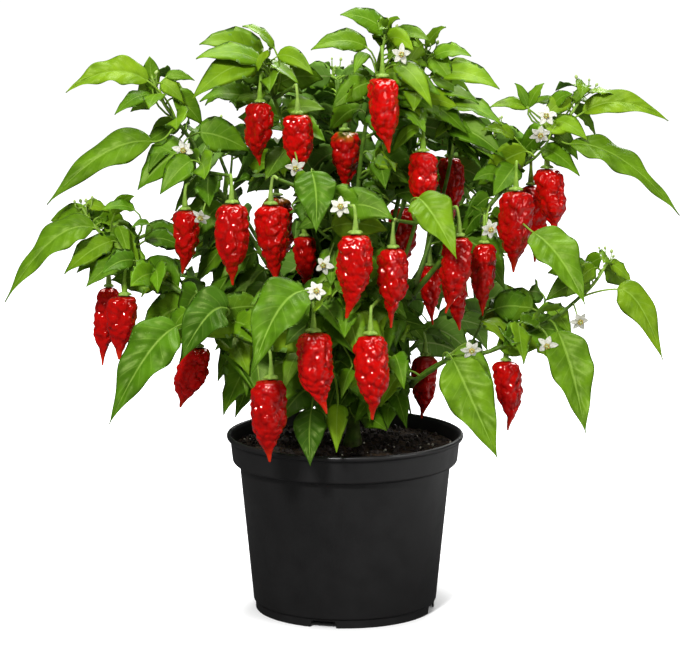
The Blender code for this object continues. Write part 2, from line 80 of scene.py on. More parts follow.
# Studio: how far the floor reaches, the camera's place, what the lamps aim at, each lamp's name, place, size
# and share of the key's power, and how much weaker the world is in reflections.
FLOOR_REACH = 30.0
EYE = (-0.0042, -2.623, 0.7014)
LIT_MIDDLE = (0.0, 0.0, 0.30)
LAMPS = (
    ("key", (-0.65, -2.0, 1.9), 0.42, 1.0),
    ("fill", (1.6, -1.1, 1.1), 0.9, 0.18),
    ("over", (0.1, 0.3, 2.2), 1.0, 0.50),
    ("back", (0.6, 2.0, 1.6), 0.9, 0.30),
)
MIRRORED_LESS = 0.75

# Growth: the turn from leaf to leaf round a shoot, the height that leaves over the pot stay above, and the
# radius of a limb at its end.
GOLDEN_TURN = math.radians(137.5)
CLEAR_OF_POT = 0.158
TWIG_END = 0.0014

# The wood: every limb runs through its own points, from its parent's wood outwards.
TRUNK = ((0.006, 0.000, 0.116), (0.007, 0.000, 0.169), (0.006, 0.000, 0.206))
LIMBS = {
    # name: (radius where it starts, points)
    "left_low": (0.0036, (
        (0.004, 0.000, 0.165), (-0.035, -0.030, 0.199), (-0.066, -0.050, 0.222), (-0.100, -0.050, 0.244),
        (-0.126, -0.050, 0.271), (-0.155, -0.040, 0.289), (-0.179, -0.030, 0.307), (-0.199, -0.022, 0.320))),
    "right_low": (0.0036, (
        (0.008, 0.000, 0.162), (0.032, -0.020, 0.178), (0.054, -0.040, 0.199), (0.084, -0.060, 0.223),
        (0.118, -0.060, 0.230), (0.149, -0.060, 0.246), (0.174, -0.050, 0.258), (0.200, -0.040, 0.278))),
    "right_high": (0.0040, (
        (0.008, 0.000, 0.184), (0.025, 0.002, 0.224), (0.055, 0.002, 0.264), (0.079, -0.008, 0.296),
        (0.103, -0.018, 0.326), (0.128, -0.018, 0.355), (0.153, -0.008, 0.385), (0.183, 0.000, 0.414))),
    "left_high": (0.0040, (
        (0.005, 0.000, 0.184), (-0.028, 0.000, 0.237), (-0.061, -0.008, 0.289), (-0.090, -0.010, 0.336),
        (-0.112, -0.008, 0.366), (-0.126, 0.000, 0.394), (-0.147, 0.000, 0.423))),
    "upper_left": (0.0036, (
        (0.006, 0.000, 0.200), (-0.008, 0.030, 0.258), (-0.028, 0.040, 0.320), (-0.044, 0.030, 0.381),
        (-0.054, 0.020, 0.415), (-0.061, 0.014, 0.436))),
    "top": (0.0040, (
        (0.006, 0.000, 0.200), (0.007, -0.006, 0.273), (0.010, -0.004, 0.349), (0.018, -0.012, 0.417),
        (0.028, -0.022, 0.460))),
    "upper_right": (0.0036, (
        (0.007, 0.000, 0.200), (0.025, 0.030, 0.262), (0.042, 0.032, 0.330), (0.053, 0.022, 0.386),
        (0.059, 0.004, 0.430), (0.062, 0.000, 0.444))),
    "mid_right": (0.0028, (
        (0.055, 0.002, 0.264), (0.073, 0.030, 0.312), (0.084, 0.030, 0.354), (0.089, 0.012, 0.384))),
    "front_left": (0.0030, (
        (0.004, 0.000, 0.173), (-0.008, -0.050, 0.213), (-0.022, -0.092, 0.258), (-0.029, -0.132, 0.294))),
    "front_mid": (0.0032, (
        (0.006, 0.000, 0.195), (0.000, -0.050, 0.264), (-0.008, -0.082, 0.327), (-0.019, -0.094, 0.376))),
    "front_right": (0.0032, (
        (0.006, 0.000, 0.192), (0.024, -0.052, 0.256), (0.048, -0.070, 0.309), (0.060, -0.080, 0.352))),
    "front_low_right": (0.0024, ((0.054, -0.040, 0.199), (0.070, -0.086, 0.219), (0.082, -0.112, 0.234))),
    "front_low_left": (0.0024, (
        (-0.066, -0.050, 0.222), (-0.085, -0.084, 0.245), (-0.104, -0.100, 0.264), (-0.124, -0.108, 0.268))),
    "back_left": (0.0034, (
        (0.006, 0.000, 0.203), (-0.039, 0.076, 0.249), (-0.084, 0.122, 0.310), (-0.108, 0.146, 0.362))),
    "back_mid": (0.0034, (
        (0.006, 0.000, 0.203), (0.004, 0.078, 0.256), (-0.004, 0.124, 0.344), (-0.009, 0.140, 0.412))),
    "back_right": (0.0034, (
        (0.006, 0.000, 0.203), (0.047, 0.076, 0.249), (0.092, 0.120, 0.312), (0.122, 0.142, 0.362))),
    "back_low_left": (0.0030, (
        (0.006, 0.000, 0.180), (-0.030, 0.060, 0.196), (-0.083, 0.118, 0.222), (-0.126, 0.152, 0.250))),
    "back_low_right": (0.0030, (
        (0.006, 0.000, 0.180), (0.039, 0.060, 0.196), (0.088, 0.118, 0.222), (0.135, 0.148, 0.254))),
    "inner_left": (0.0028, (
        (0.006, 0.000, 0.203), (-0.020, 0.040, 0.275), (-0.042, 0.072, 0.350), (-0.052, 0.088, 0.410))),
    "inner_mid": (0.0028, (
        (0.006, 0.000, 0.203), (0.006, 0.044, 0.285), (-0.002, 0.066, 0.370), (-0.006, 0.070, 0.440))),
    "inner_right": (0.0028, (
        (0.006, 0.000, 0.203), (0.030, 0.042, 0.280), (0.056, 0.075, 0.350), (0.072, 0.090, 0.405))),
    "back_low": (0.0030, ((0.006, 0.000, 0.186), (0.000, 0.070, 0.212), (0.005, 0.124, 0.246),
                          (0.009, 0.164, 0.280))),
}
SHOOT_LIMBS = (
    "left_low", "right_low", "right_high", "left_high", "upper_left", "top", "upper_right", "mid_right",
    "back_left", "back_mid", "back_right", "back_low")

# Long leaves: stalk's seat, tip, how far the blade arches above the straight line, width, the way its face
# looks, and how yellow the green is; below nothing, the share of painted shade that darkens the green.
LONG_LEAVES = (
    ((-0.206, -0.032, 0.328), (-0.279, -0.050, 0.269), 0.018, 0.034, (-0.5, -0.7, 0.5), 0.25),
    ((-0.159, -0.014, 0.397), (-0.245, -0.030, 0.347), 0.015, 0.036, (-0.4, -0.7, 0.5), 0.25),
    ((-0.162, -0.006, 0.446), (-0.229, -0.018, 0.438), 0.011, 0.028, (-0.2, -0.8, 0.6), 0.85),
    ((0.185, -0.014, 0.395), (0.275, -0.030, 0.338), 0.014, 0.032, (0.3, -0.6, 0.7), 0.35),
    ((0.196, -0.004, 0.420), (0.266, -0.012, 0.414), 0.011, 0.024, (0.1, -0.8, 0.6), 0.95),
    ((0.152, -0.072, 0.330), (0.192, -0.110, 0.277), 0.006, 0.040, (0.3, -0.8, 0.4), 0.30),
    ((0.223, -0.044, 0.279), (0.260, -0.060, 0.223), 0.012, 0.032, (0.4, -0.8, 0.3), 0.80),
    ((0.172, -0.082, 0.251), (0.193, -0.120, 0.174), 0.004, 0.040, (0.2, -0.9, 0.2), 0.30),
    ((0.085, -0.134, 0.238), (0.120, -0.168, 0.164), 0.004, 0.044, (0.1, -0.9, 0.3), 0.35),
    ((-0.032, -0.168, 0.298), (-0.072, -0.206, 0.240), 0.012, 0.046, (-0.2, -0.8, 0.5), 0.10),
    ((-0.134, -0.124, 0.262), (-0.187, -0.150, 0.188), 0.012, 0.044, (-0.3, -0.9, 0.3), -0.10),
    ((-0.094, -0.116, 0.275), (-0.132, -0.134, 0.234), 0.014, 0.042, (-0.1, -0.8, 0.6), -0.55),
    ((-0.027, -0.100, 0.191), (-0.028, -0.132, 0.150), 0.002, 0.028, (0.0, -0.9, 0.3), -0.95),
    ((-0.027, -0.104, 0.384), (-0.023, -0.134, 0.339), 0.004, 0.036, (0.0, -0.9, 0.4), -0.35),
    ((0.058, -0.100, 0.362), (0.088, -0.134, 0.318), 0.008, 0.038, (0.2, -0.8, 0.5), 0.50),
)

# Young leaves at the shoots: limb that bears them, then each leaf's base and tip.
YOUNG_LEAVES = {
    "upper_left": (
        ((-0.072, -0.005, 0.459), (-0.125, -0.030, 0.434)), ((-0.069, 0.020, 0.461), (-0.120, 0.000, 0.476)),
        ((-0.068, 0.000, 0.461), (-0.122, -0.020, 0.466)), ((-0.056, 0.004, 0.466), (-0.026, -0.014, 0.452)),
        ((-0.058, 0.002, 0.472), (-0.084, -0.012, 0.492))),
    "top": (
        ((0.036, -0.022, 0.486), (-0.004, -0.036, 0.503)), ((0.037, -0.020, 0.483), (0.069, -0.040, 0.482)),
        ((0.018, -0.020, 0.475), (-0.028, -0.030, 0.474)), ((0.018, -0.030, 0.471), (0.007, -0.050, 0.456)),
        ((0.034, -0.018, 0.488), (0.044, -0.036, 0.500))),
    "upper_right": (
        ((0.072, -0.010, 0.466), (0.103, -0.020, 0.468)), ((0.075, -0.010, 0.452), (0.126, -0.030, 0.442)),
        ((0.040, -0.040, 0.463), (0.070, -0.070, 0.431)), ((0.079, 0.000, 0.436), (0.110, -0.010, 0.428)),
        ((0.079, 0.000, 0.422), (0.129, -0.020, 0.411)), ((0.079, 0.000, 0.415), (0.107, -0.010, 0.402)),
        ((0.083, 0.000, 0.407), (0.131, -0.020, 0.384)), ((0.066, -0.006, 0.474), (0.082, -0.020, 0.492))),
    "mid_right": (((0.087, 0.010, 0.400), (0.112, 0.000, 0.376)),
                  ((0.060, -0.030, 0.410), (0.038, -0.040, 0.390))),
    "right_high": (
        ((0.151, 0.000, 0.423), (0.119, -0.010, 0.425)), ((0.151, 0.000, 0.423), (0.140, 0.000, 0.444)),
        ((0.151, 0.000, 0.423), (0.164, 0.000, 0.444)), ((0.170, 0.000, 0.423), (0.187, -0.010, 0.436)),
        ((0.188, 0.000, 0.427), (0.203, 0.000, 0.442)), ((0.172, 0.000, 0.412), (0.199, -0.020, 0.399)),
        ((0.141, 0.000, 0.398), (0.112, -0.020, 0.407))),
    "left_high": (
        ((-0.159, 0.000, 0.437), (-0.161, 0.000, 0.466)), ((-0.148, 0.000, 0.449), (-0.124, 0.000, 0.446)),
        ((-0.159, 0.000, 0.434), (-0.189, -0.020, 0.420)), ((-0.143, 0.000, 0.394), (-0.162, -0.020, 0.372))),
    "right_low": (
        ((-0.006, -0.098, 0.194), (-0.007, -0.118, 0.158)), ((0.005, -0.106, 0.224), (-0.003, -0.126, 0.204)),
        ((0.012, -0.052, 0.172), (0.034, -0.080, 0.168)), ((0.040, -0.056, 0.198), (0.050, -0.080, 0.170)),
        ((0.008, -0.040, 0.196), (-0.012, -0.066, 0.170)), ((0.022, -0.050, 0.204), (0.020, -0.078, 0.176))),
    "left_low": (
        ((-0.037, -0.086, 0.234), (-0.050, -0.108, 0.206)),
        ((-0.082, -0.066, 0.236), (-0.080, -0.088, 0.198)),
        ((-0.172, -0.040, 0.344), (-0.199, -0.050, 0.345)),
        ((-0.160, -0.040, 0.332), (-0.174, -0.050, 0.331)),
        ((-0.186, -0.034, 0.330), (-0.176, -0.050, 0.304)),
        ((-0.190, -0.030, 0.338), (-0.172, -0.046, 0.356))),
}

# Chillies that no CAD node holds: shoulder, length, tip's drift and width. They hang deep in the bush.
INNER_FRUITS = (
    (0.090, 0.004, 0.284, 0.048, 0.005, 0.020),
    (0.072, 0.056, 0.284, 0.052, 0.002, 0.020),
    (-0.034, 0.024, 0.314, 0.047, 0.001, 0.022),
)
# Share of green that is left on a chilli's shoulder.
UNRIPE = {"chilli_04": 0.55, "chilli_03": 0.25, "chilli_25": 0.5}

# Flowers: middle of the star and the way it looks.
FLOWERS = (
    ((-0.133, -0.024, 0.391), (0.1, -1.0, 0.1)),
    ((-0.117, -0.062, 0.341), (-0.3, -0.8, -0.5)),
    ((-0.023, -0.164, 0.297), (0.2, -0.9, 0.3)),
    ((0.191, -0.066, 0.256), (0.3, -0.8, -0.3)),
    ((-0.004, -0.124, 0.358), (0.1, -0.9, 0.3)),
    ((-0.017, -0.104, 0.308), (-0.4, -0.8, 0.1)),
    ((0.045, -0.050, 0.472), (0.3, -0.9, 0.0)),
    ((0.165, -0.022, 0.419), (-0.2, -0.9, 0.2)),
    ((0.159, -0.034, 0.405), (0.2, -0.8, -0.4)),
    ((0.163, -0.094, 0.241), (-0.2, -0.9, -0.2)),
    ((0.100, -0.140, 0.246), (0.1, -0.9, -0.4)),
    ((0.116, -0.096, 0.336), (0.4, -0.8, -0.2)),
    ((-0.040, -0.050, 0.380), (-0.2, -0.9, -0.3)),
    ((-0.060, 0.176, 0.372), (-0.2, 0.9, 0.1)),
    ((0.078, 0.166, 0.356), (0.3, 0.9, -0.2)),
    ((0.010, 0.150, 0.444), (0.0, 0.8, 0.4)),
)


# Arrays and curves.


def unit(vectors):
    """Vectors of length one."""
    vectors = np.asarray(vectors, float)
    return vectors / np.maximum(np.linalg.norm(vectors, axis=-1, keepdims=True), 1e-12)


def smooth(share):
    """A step from 0 to 1 that starts and ends level: three s squared less two s cubed."""
    share = np.clip(share, 0, 1)
    return share * share * (3 - 2 * share)


def bend(start, control, end, count):
    """Points of a quadratic curve: start and end blended through a control point."""
    t = np.linspace(0, 1, count)[:, None]
    start, control, end = (np.asarray(p, float) for p in (start, control, end))
    return (1 - t) ** 2 * start + 2 * t * (1 - t) * control + t ** 2 * end


def flowing(corners, steps):
    """Points of a Catmull-Rom curve: it passes every corner, and its slope there runs from the corner
    before to the corner after."""
    p = np.asarray(corners, float)
    p = np.vstack([2 * p[0] - p[1], p, 2 * p[-1] - p[-2]])
    a, b, c, d = (p[k:len(p) - 3 + k, None, :] for k in range(4))
    t = (np.arange(steps) / steps)[None, :, None]
    path = 0.5 * (2 * b + (c - a) * t + (2 * a - 5 * b + 4 * c - d) * t ** 2
                  + (3 * b - a - 3 * c + d) * t ** 3)
    return np.vstack([path.reshape(-1, 3), p[-2]])


def travelled(path):
    """The distance along a path to each of its points."""
    return np.append(0, np.cumsum(np.linalg.norm(np.diff(path, axis=0), axis=1)))


def at_distance(path, run, distance):
    """The point a distance along a path."""
    return np.array([np.interp(distance, run, path[:, k]) for k in range(3)])


def turned_about_z(vector, turn):
    """A vector turned about Z."""
    c, s = math.cos(turn), math.sin(turn)
    return np.array((vector[0] * c - vector[1] * s, vector[0] * s + vector[1] * c, vector[2]))


def frames(path, hint=None):
    """Unit vectors along a path and two across it. The first one across is a fixed hint with its part along
    the path taken out, so it turns only as the path does."""
    along = unit(np.gradient(path, axis=0))
    if hint is None:
        hint = np.cross(path[-1] - path[0], UP)
        if np.linalg.norm(hint) < 0.2 * np.linalg.norm(path[-1] - path[0]):
            hint = np.array((0.0, 1.0, 0.0))
    side = unit(hint - along * (along @ hint)[:, None])
    return along, side, np.cross(along, side)


def tube(path, radii, sides, hint=None, wobble=0.0):
    """A round rod: at each point of the path, a circle of that point's radius, across the path. Wobble
    presses three flats into it."""
    _, side, across = frames(path, hint)
    turn = math.tau * np.arange(sides) / sides
    radii = np.broadcast_to(radii, len(path))[:, None] * (1 + wobble * np.cos(3 * turn))[None, :]
    return path[:, None, :] + radii[..., None] * (side[:, None, :] * np.cos(turn)[None, :, None]
                                                  + across[:, None, :] * np.sin(turn)[None, :, None])


def lumps(rng, count, lowest, highest):
    """A function of points that sums plane waves in random directions, longer ones higher, within about -1
    to 1."""
    waves = unit(rng.normal(size=(count, 3))) * rng.uniform(lowest, highest, (count, 1))
    start = rng.uniform(0, math.tau, count)
    height = lowest / np.linalg.norm(waves, axis=1)
    height /= np.sqrt((height ** 2).sum())

    def at(points):
        return (np.cos(points @ waves.T + start) * height).sum(axis=-1)

    return at


class Mesh:
    """Surfaces gathered into one object. Each is a grid of rings, closed round and capped at its ends, with
    a look for each, a place on the surface and a tint that materials read, and a cell of the bake map."""

    def __init__(self):
        self.points, self.places, self.tints = [], [], []
        self.corners, self.sizes, self.looks, self.cells, self.unrolled = [], [], [], [], []
        self.count = 0

    def add_rings(self, grid, place=None, tint=(0, 0, 0), look=0):
        """A closed surface from rings of equally many points, with a centre point in each end cap."""
        rings, sides, _ = grid.shape
        ends = np.stack([grid[0].mean(axis=0), grid[-1].mean(axis=0)])
        place = np.zeros((rings, sides, 3)) if place is None else np.broadcast_to(place, (rings, sides, 3))
        place_ends = np.stack([place[0].mean(axis=0), place[-1].mean(axis=0)])
        i, j = np.meshgrid(np.arange(rings - 1), np.arange(sides), indexing="ij")
        k = (j + 1) % sides
        quads = np.stack([i * sides + j, i * sides + k, (i + 1) * sides + k, (i + 1) * sides + j],
                         -1).reshape(-1, 4)
        u, v = j / sides, i / (rings - 1)
        step_u, step_v = 1 / sides, 1 / (rings - 1)
        quad_uv = np.stack([np.stack([u, v], -1), np.stack([u + step_u, v], -1),
                            np.stack([u + step_u, v + step_v], -1),
                            np.stack([u, v + step_v], -1)], -2).reshape(-1, 2)
        j = np.arange(sides)
        k = (j + 1) % sides
        low, high = rings * sides, rings * sides + 1
        last = (rings - 1) * sides
        caps = np.concatenate([np.stack([np.full(sides, low), k, j], -1),
                               np.stack([np.full(sides, high), last + j, last + k], -1)])
        turn = math.tau * np.arange(sides + 1) / sides
        circle = np.stack([np.cos(turn), np.sin(turn)], -1) * 0.012
        start, end = np.array((0.02, -0.03)), np.array((0.02, 1.03))
        cap_uv = np.concatenate([
            np.stack([np.broadcast_to(start, (sides, 2)), start + circle[1:], start + circle[:-1]], 1),
            np.stack([np.broadcast_to(end, (sides, 2)), end + circle[:-1], end + circle[1:]],
                     1)]).reshape(-1, 2)
        self._take(np.vstack([grid.reshape(-1, 3), ends]), np.vstack([place.reshape(-1, 3), place_ends]),
                   tint,
                   [quads, caps], np.vstack([quad_uv, cap_uv]), look)

    def add_faces(self, points, faces, place, tint, look=0):
        """A set of equal faces with no cell in the bake map."""
        self._take(points, place, tint, [faces], None, look)

    def _take(self, points, place, tint, face_sets, uv, look):
        self.points.append(points)
        self.places.append(place)
        self.tints.append(np.broadcast_to(tint, (len(points), 3)))
        for faces in face_sets:
            self.corners.append((faces + self.count).ravel())
            self.sizes.append(np.full(len(faces), faces.shape[1]))
            self.looks.append(np.full(len(faces), look))
        if uv is not None:
            self.unrolled.append(uv)
            self.cells.append(len(uv))
        self.count += len(points)

    def make(self, name, looks, slot, replaces=(), flat=False):
        """The finished object, which rides on the plant's one body."""
        points, corners, sizes = (np.concatenate(a) for a in (self.points, self.corners, self.sizes))
        mesh = bpy.data.meshes.new(name)
        mesh.vertices.add(len(points))
        mesh.vertices.foreach_set("co", points.astype(np.float32).ravel())
        mesh.loops.add(len(corners))
        mesh.loops.foreach_set("vertex_index", corners.astype(np.int32))
        mesh.polygons.add(len(sizes))
        mesh.polygons.foreach_set("loop_start", np.concatenate([[0], np.cumsum(sizes)[:-1]]).astype(np.int32))
        mesh.polygons.foreach_set("material_index", np.concatenate(self.looks).astype(np.int32))
        for title, values in (("place", self.places), ("tint", self.tints)):
            layer = mesh.attributes.new(title, "FLOAT_VECTOR", "POINT")
            layer.data.foreach_set("vector", np.vstack(values).astype(np.float32).ravel())
        if self.cells:
            across = math.ceil(math.sqrt(len(self.cells)))
            cell = np.repeat(np.arange(len(self.cells)), self.cells)
            corner = np.stack([cell % across, cell // across], -1)
            uv = (corner + 0.06 + 0.88 * np.vstack(self.unrolled)) / across
            mesh.uv_layers.new(name="OFBake").data.foreach_set("uv", uv.astype(np.float32).ravel())
        mesh.update(calc_edges=True)
        mesh.validate()
        mesh.polygons.foreach_set("use_smooth", np.full(len(mesh.polygons), not flat))
        for look in looks:
            mesh.materials.append(look)
        made = bpy.data.objects.new(name, mesh)
        bpy.context.scene.collection.objects.link(made)
        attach(made, BODY)
        if replaces:
            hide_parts(*replaces)
        return made


# Materials.


class Look:
    """A node material with one Principled shader, and short ways to add nodes to it."""

    def __init__(self, name, roughness, **sockets):
        self.material = bpy.data.materials.new(name)
        self.material.use_nodes = True
        self.tree = self.material.node_tree
        self.shader = self.tree.nodes["Principled BSDF"]
        self.shader.inputs["Roughness"].default_value = roughness
        for socket, value in sockets.items():
            self.shader.inputs[socket.replace("_", " ")].default_value = value

    def node(self, kind, inputs=(), **settings):
        made = self.tree.nodes.new("ShaderNode" + kind)
        for title, value in settings.items():
            setattr(made, title, value)
        for title, value in dict(inputs).items():
            if isinstance(value, bpy.types.NodeSocket):
                self.tree.links.new(value, made.inputs[title])
            else:
                made.inputs[title].default_value = value
        return made

    def math(self, operation, a, b=0.0, clamp=False):
        return self.node("Math", {0: a, 1: b}, operation=operation, use_clamp=clamp).outputs[0]

    def spread(self, value, low, high, to_low=0.0, to_high=1.0):
        """A value's range mapped smoothly onto another."""
        inputs = {"Value": value, "From Min": low, "From Max": high, "To Min": to_low, "To Max": to_high}
        return self.node("MapRange", inputs, interpolation_type="SMOOTHSTEP").outputs[0]

    def own(self, title):
        """The three numbers of a stored attribute."""
        vector = self.node("Attribute", attribute_name=title).outputs["Vector"]
        return self.node("SeparateXYZ", {0: vector}).outputs

    def noise(self, scale, detail=3.0, roughness=0.55, vector=None):
        vector = vector or self.node("TexCoord").outputs["Object"]
        inputs = {"Vector": vector, "Scale": scale, "Detail": detail, "Roughness": roughness}
        return self.node("TexNoise", inputs).outputs["Fac"]

    def cells(self, scale, feature="F1"):
        inputs = {"Vector": self.node("TexCoord").outputs["Object"], "Scale": scale}
        return self.node("TexVoronoi", inputs, feature=feature).outputs["Distance"]

    def blend(self, share, first, second):
        """A colour between two: the first where share is 0, the second where it is 1."""
        made = self.node("Mix", data_type="RGBA")
        for socket, value in ((made.inputs[0], share), (made.inputs[6], first), (made.inputs[7], second)):
            if isinstance(value, bpy.types.NodeSocket):
                self.tree.links.new(value, socket)
            else:
                socket.default_value = (*value, 1.0) if isinstance(value, (tuple, list)) else value
        return made.outputs[2]

    def paint(self, colour, roughness=None, height=None, strength=0.3, distance=0.0005):
        """Links a colour, and perhaps a roughness and a height, to the shader."""
        self.tree.links.new(colour, self.shader.inputs["Base Color"])
        if roughness is not None:
            self.tree.links.new(roughness, self.shader.inputs["Roughness"])
        if height is not None:
            bump = self.node("Bump", {"Height": height, "Strength": strength, "Distance": distance})
            self.tree.links.new(bump.outputs[0], self.shader.inputs["Normal"])
        return self.material


def plastic_look(colour):
    """Satin moulded plastic: fine grain, a cloudy tone that differs at random and small shine changes."""
    look = Look("pot_plastic", 0.4, Specular_IOR_Level=0.70)
    grain = look.noise(900, 2)
    cloud = look.noise(14, 4)
    shade = look.blend(look.spread(cloud, 0.3, 0.75), tuple(0.85 * c for c in colour),
                       tuple(1.25 * c for c in colour))
    rough = look.spread(look.noise(60, 4), 0.25, 0.8, 0.34, 0.46)
    return look.paint(shade, rough, grain, 0.10, 0.0002)


def soil_look():
    """Moist potting mix: near-black brown with lighter fibres."""
    look = Look("soil", 0.95, Specular_IOR_Level=0.2)
    crumbs = look.cells(420)
    tint = look.own("tint")["X"]
    dark = look.blend(look.spread(look.noise(160, 5, 0.7), 0.35, 0.7), (0.011, 0.0075, 0.005),
                      (0.070, 0.043, 0.024))
    shade = look.blend(tint, dark, (0.20, 0.125, 0.065))
    height = look.math("ADD", look.noise(500, 5, 0.7), crumbs)
    return look.paint(shade, None, height, 0.8, 0.0012)


def perlite_look():
    """Pale puffed grains."""
    look = Look("perlite", 0.85, Specular_IOR_Level=0.3)
    shade = look.blend(look.spread(look.noise(700, 3), 0.3, 0.7), (0.42, 0.38, 0.30), (0.72, 0.69, 0.60))
    return look.paint(shade, None, look.cells(1500), 0.5, 0.0003)


def stem_look():
    """Green bark with fine ridges along it, brown and corky where the wood is old."""
    look = Look("stem", 0.5, Specular_IOR_Level=0.3, Specular_Tint=(0.85, 1.0, 0.6, 1.0))
    place = look.own("place")
    streak = look.noise(160, 4, 0.6)
    green = look.blend(look.spread(streak, 0.3, 0.7), (0.040, 0.092, 0.007), (0.090, 0.170, 0.014))
    cork = look.blend(look.spread(look.noise(320, 5, 0.7), 0.35, 0.65), (0.024, 0.025, 0.009),
                      (0.075, 0.066, 0.030))
    age = look.math("MULTIPLY", place["X"], look.spread(look.noise(45, 3), 0.3, 0.6), clamp=True)
    return look.paint(look.blend(age, green, cork), None, streak, 0.35, 0.0004)


def stalk_look():
    """Pale fresh green with a soft shine, for chilli stalks, calyxes and pedicels."""
    look = Look("stalk", 0.42, Specular_IOR_Level=0.3, Specular_Tint=(0.85, 1.0, 0.6, 1.0))
    tint = look.own("tint")["X"]
    mottle = look.spread(look.noise(240, 4), 0.3, 0.7)
    fresh = look.blend(mottle, (0.120, 0.240, 0.014), (0.210, 0.350, 0.035))
    return look.paint(look.blend(tint, fresh, (0.42, 0.50, 0.20)), None, look.noise(600, 3), 0.2, 0.0003)


def leaf_look(name, colour, pairs):
    """Glossy green blade: a pale midrib, side veins that leave it in pairs and curve to the tip, a yellower
    green by tint, a painted shade that darkens the green deep in the bush, and a dull grey-green underside."""
    look = Look(name, 0.42, Specular_IOR_Level=0.25, Specular_Tint=(0.85, 1.0, 0.34, 1.0))
    place, tint = look.own("place"), look.own("tint")
    off = look.math("ABSOLUTE", place["X"])
    forward = look.math("MULTIPLY", look.math("POWER", off, 0.85), 0.20)
    run = look.math("MULTIPLY", look.math("SUBTRACT", place["Y"], forward), float(pairs))
    waves = look.math("ABSOLUTE", look.math("SUBTRACT", look.math("FRACT", run), 0.5))
    side_vein = look.math("MULTIPLY", look.spread(waves, 0.43, 0.49), look.spread(off, 0.95, 0.55))
    midrib = look.spread(off, 0.07, 0.02)
    vein = look.math("MAXIMUM", midrib, look.math("MULTIPLY", side_vein, 0.34))
    cloud = look.spread(look.noise(55, 4), 0.3, 0.72)
    deep = look.blend(cloud, tuple(0.52 * c for c in colour), colour)
    varied = look.blend(tint["Z"], deep, look.blend(cloud, (0.056, 0.155, 0.003), (0.115, 0.245, 0.006)))
    fresh = look.blend(cloud, (0.150, 0.270, 0.004), (0.270, 0.400, 0.008))
    blade = look.blend(tint["X"], varied, fresh)
    # Painted shade: tint Y darkens the blade towards a near-black green deep in the bush.
    shaded = look.blend(look.math("MULTIPLY", tint["Y"], 0.75), blade, (0.014, 0.050, 0.003))
    veined = look.blend(look.math("MULTIPLY", vein, 0.45), shaded, (0.230, 0.370, 0.050))
    dull = look.blend(vein, (0.095, 0.200, 0.025), (0.230, 0.330, 0.090))
    shade = look.blend(look.spread(place["Z"], 0.4, 0.6), veined, dull)
    rough = look.spread(place["Z"], 0.4, 0.6, 0.42, 0.62)
    puckers = look.math("ADD", look.noise(260, 3), look.math("MULTIPLY", vein, -0.7))
    return look.paint(shade, rough, puckers, 0.34, 0.0006)


def flesh_look(colour):
    """Glossy chilli skin: deep red, with painted shade in its creases, orange at the tail, green where it
    isn't ripe yet."""
    look = Look("chilli_flesh", 0.15, Specular_IOR_Level=0.70, Specular_Tint=(1.0, 0.54, 0.48, 1.0))
    place, tint = look.own("place"), look.own("tint")
    cloud = look.spread(look.noise(45, 4), 0.3, 0.7)
    red = look.blend(cloud, tuple(0.74 * c for c in colour), colour)
    deep = look.blend(look.math("MULTIPLY", tint["Y"], 0.6), red, (0.230, 0.0018, 0.0016))
    # Painted shade: the red darkens where the pillows sink into creases.
    crease_shaded = look.blend(look.spread(place["X"], 0.55, -0.05, 0.0, 0.42), deep, (0.130, 0.0010, 0.0010))
    tailed = look.blend(look.spread(place["Y"], 0.78, 1.0, 0.0, 0.6), crease_shaded, (0.520, 0.030, 0.004))
    shoulder = look.math("SUBTRACT", tint["X"], look.math("MULTIPLY", place["Y"], 2.6), clamp=True)
    patch = look.math("MULTIPLY", shoulder, look.spread(look.noise(60, 2), 0.35, 0.60), clamp=True)
    turning = look.blend(look.spread(patch, 0.02, 0.45), tailed, (0.100, 0.130, 0.010))
    pimples = look.math("ADD", look.noise(420, 3), look.math("MULTIPLY", look.noise(1100, 2), 0.25))
    return look.paint(turning, look.spread(look.noise(90, 3), 0.3, 0.7, 0.04, 0.10), pimples, 0.13, 0.0006)


def petal_look():
    """White petals, a little green at their foot."""
    look = Look("petal", 0.55, Specular_IOR_Level=0.3)
    place = look.own("place")
    streak = look.noise(700, 3)
    white = look.blend(look.spread(streak, 0.35, 0.65), (0.50, 0.50, 0.41), (0.66, 0.66, 0.58))
    return look.paint(look.blend(look.spread(place["Y"], 0.30, 0.0), white, (0.50, 0.58, 0.24)), None,
                      streak, 0.2, 0.0003)


def anther_look():
    """Olive-yellow anthers with pollen."""
    look = Look("anther", 0.7)
    shade = look.blend(look.spread(look.noise(1600, 2), 0.35, 0.65), (0.16, 0.13, 0.03), (0.55, 0.42, 0.08))
    return look.paint(shade, None, look.cells(2500), 0.4, 0.0002)


def paper_look(glow):
    """White studio paper. It glows for the camera only, evenly but under and round the pot, where the glow
    fades out as a painted contact shadow over the real one. It is darker to all other rays, most of all to
    reflections, and less so to the right."""
    look = Look("floor", 0.9, Specular_IOR_Level=0.1, Emission_Color=(1.0, 1.0, 1.0, 1.0))
    place = look.node("TexCoord").outputs["Object"]
    reach = look.node("VectorMath", {0: place}, operation="LENGTH").outputs["Value"]
    rays = look.node("LightPath").outputs
    # Painted contact shadow: the camera's glow fades to nothing from 0.14 m to 0.06 m from the pot's axis.
    light = look.math("MULTIPLY", look.spread(reach, 0.06, 0.14, 0.0, glow), rays["Is Camera Ray"])
    look.tree.links.new(light, look.shader.inputs["Emission Strength"])
    tone = look.math("ADD", look.math("MULTIPLY", rays["Is Camera Ray"], 0.40), 0.45)
    right = look.node("SeparateXYZ", {0: place}).outputs["X"]
    dim = look.spread(right, 0.10, 0.50, 0.41, 0.18)
    tone = look.math("SUBTRACT", tone, look.math("MULTIPLY", rays["Is Glossy Ray"], dim))
    look.tree.links.new(tone, look.shader.inputs["Base Color"])
    return look.material


# Shapes of the plant's organs.


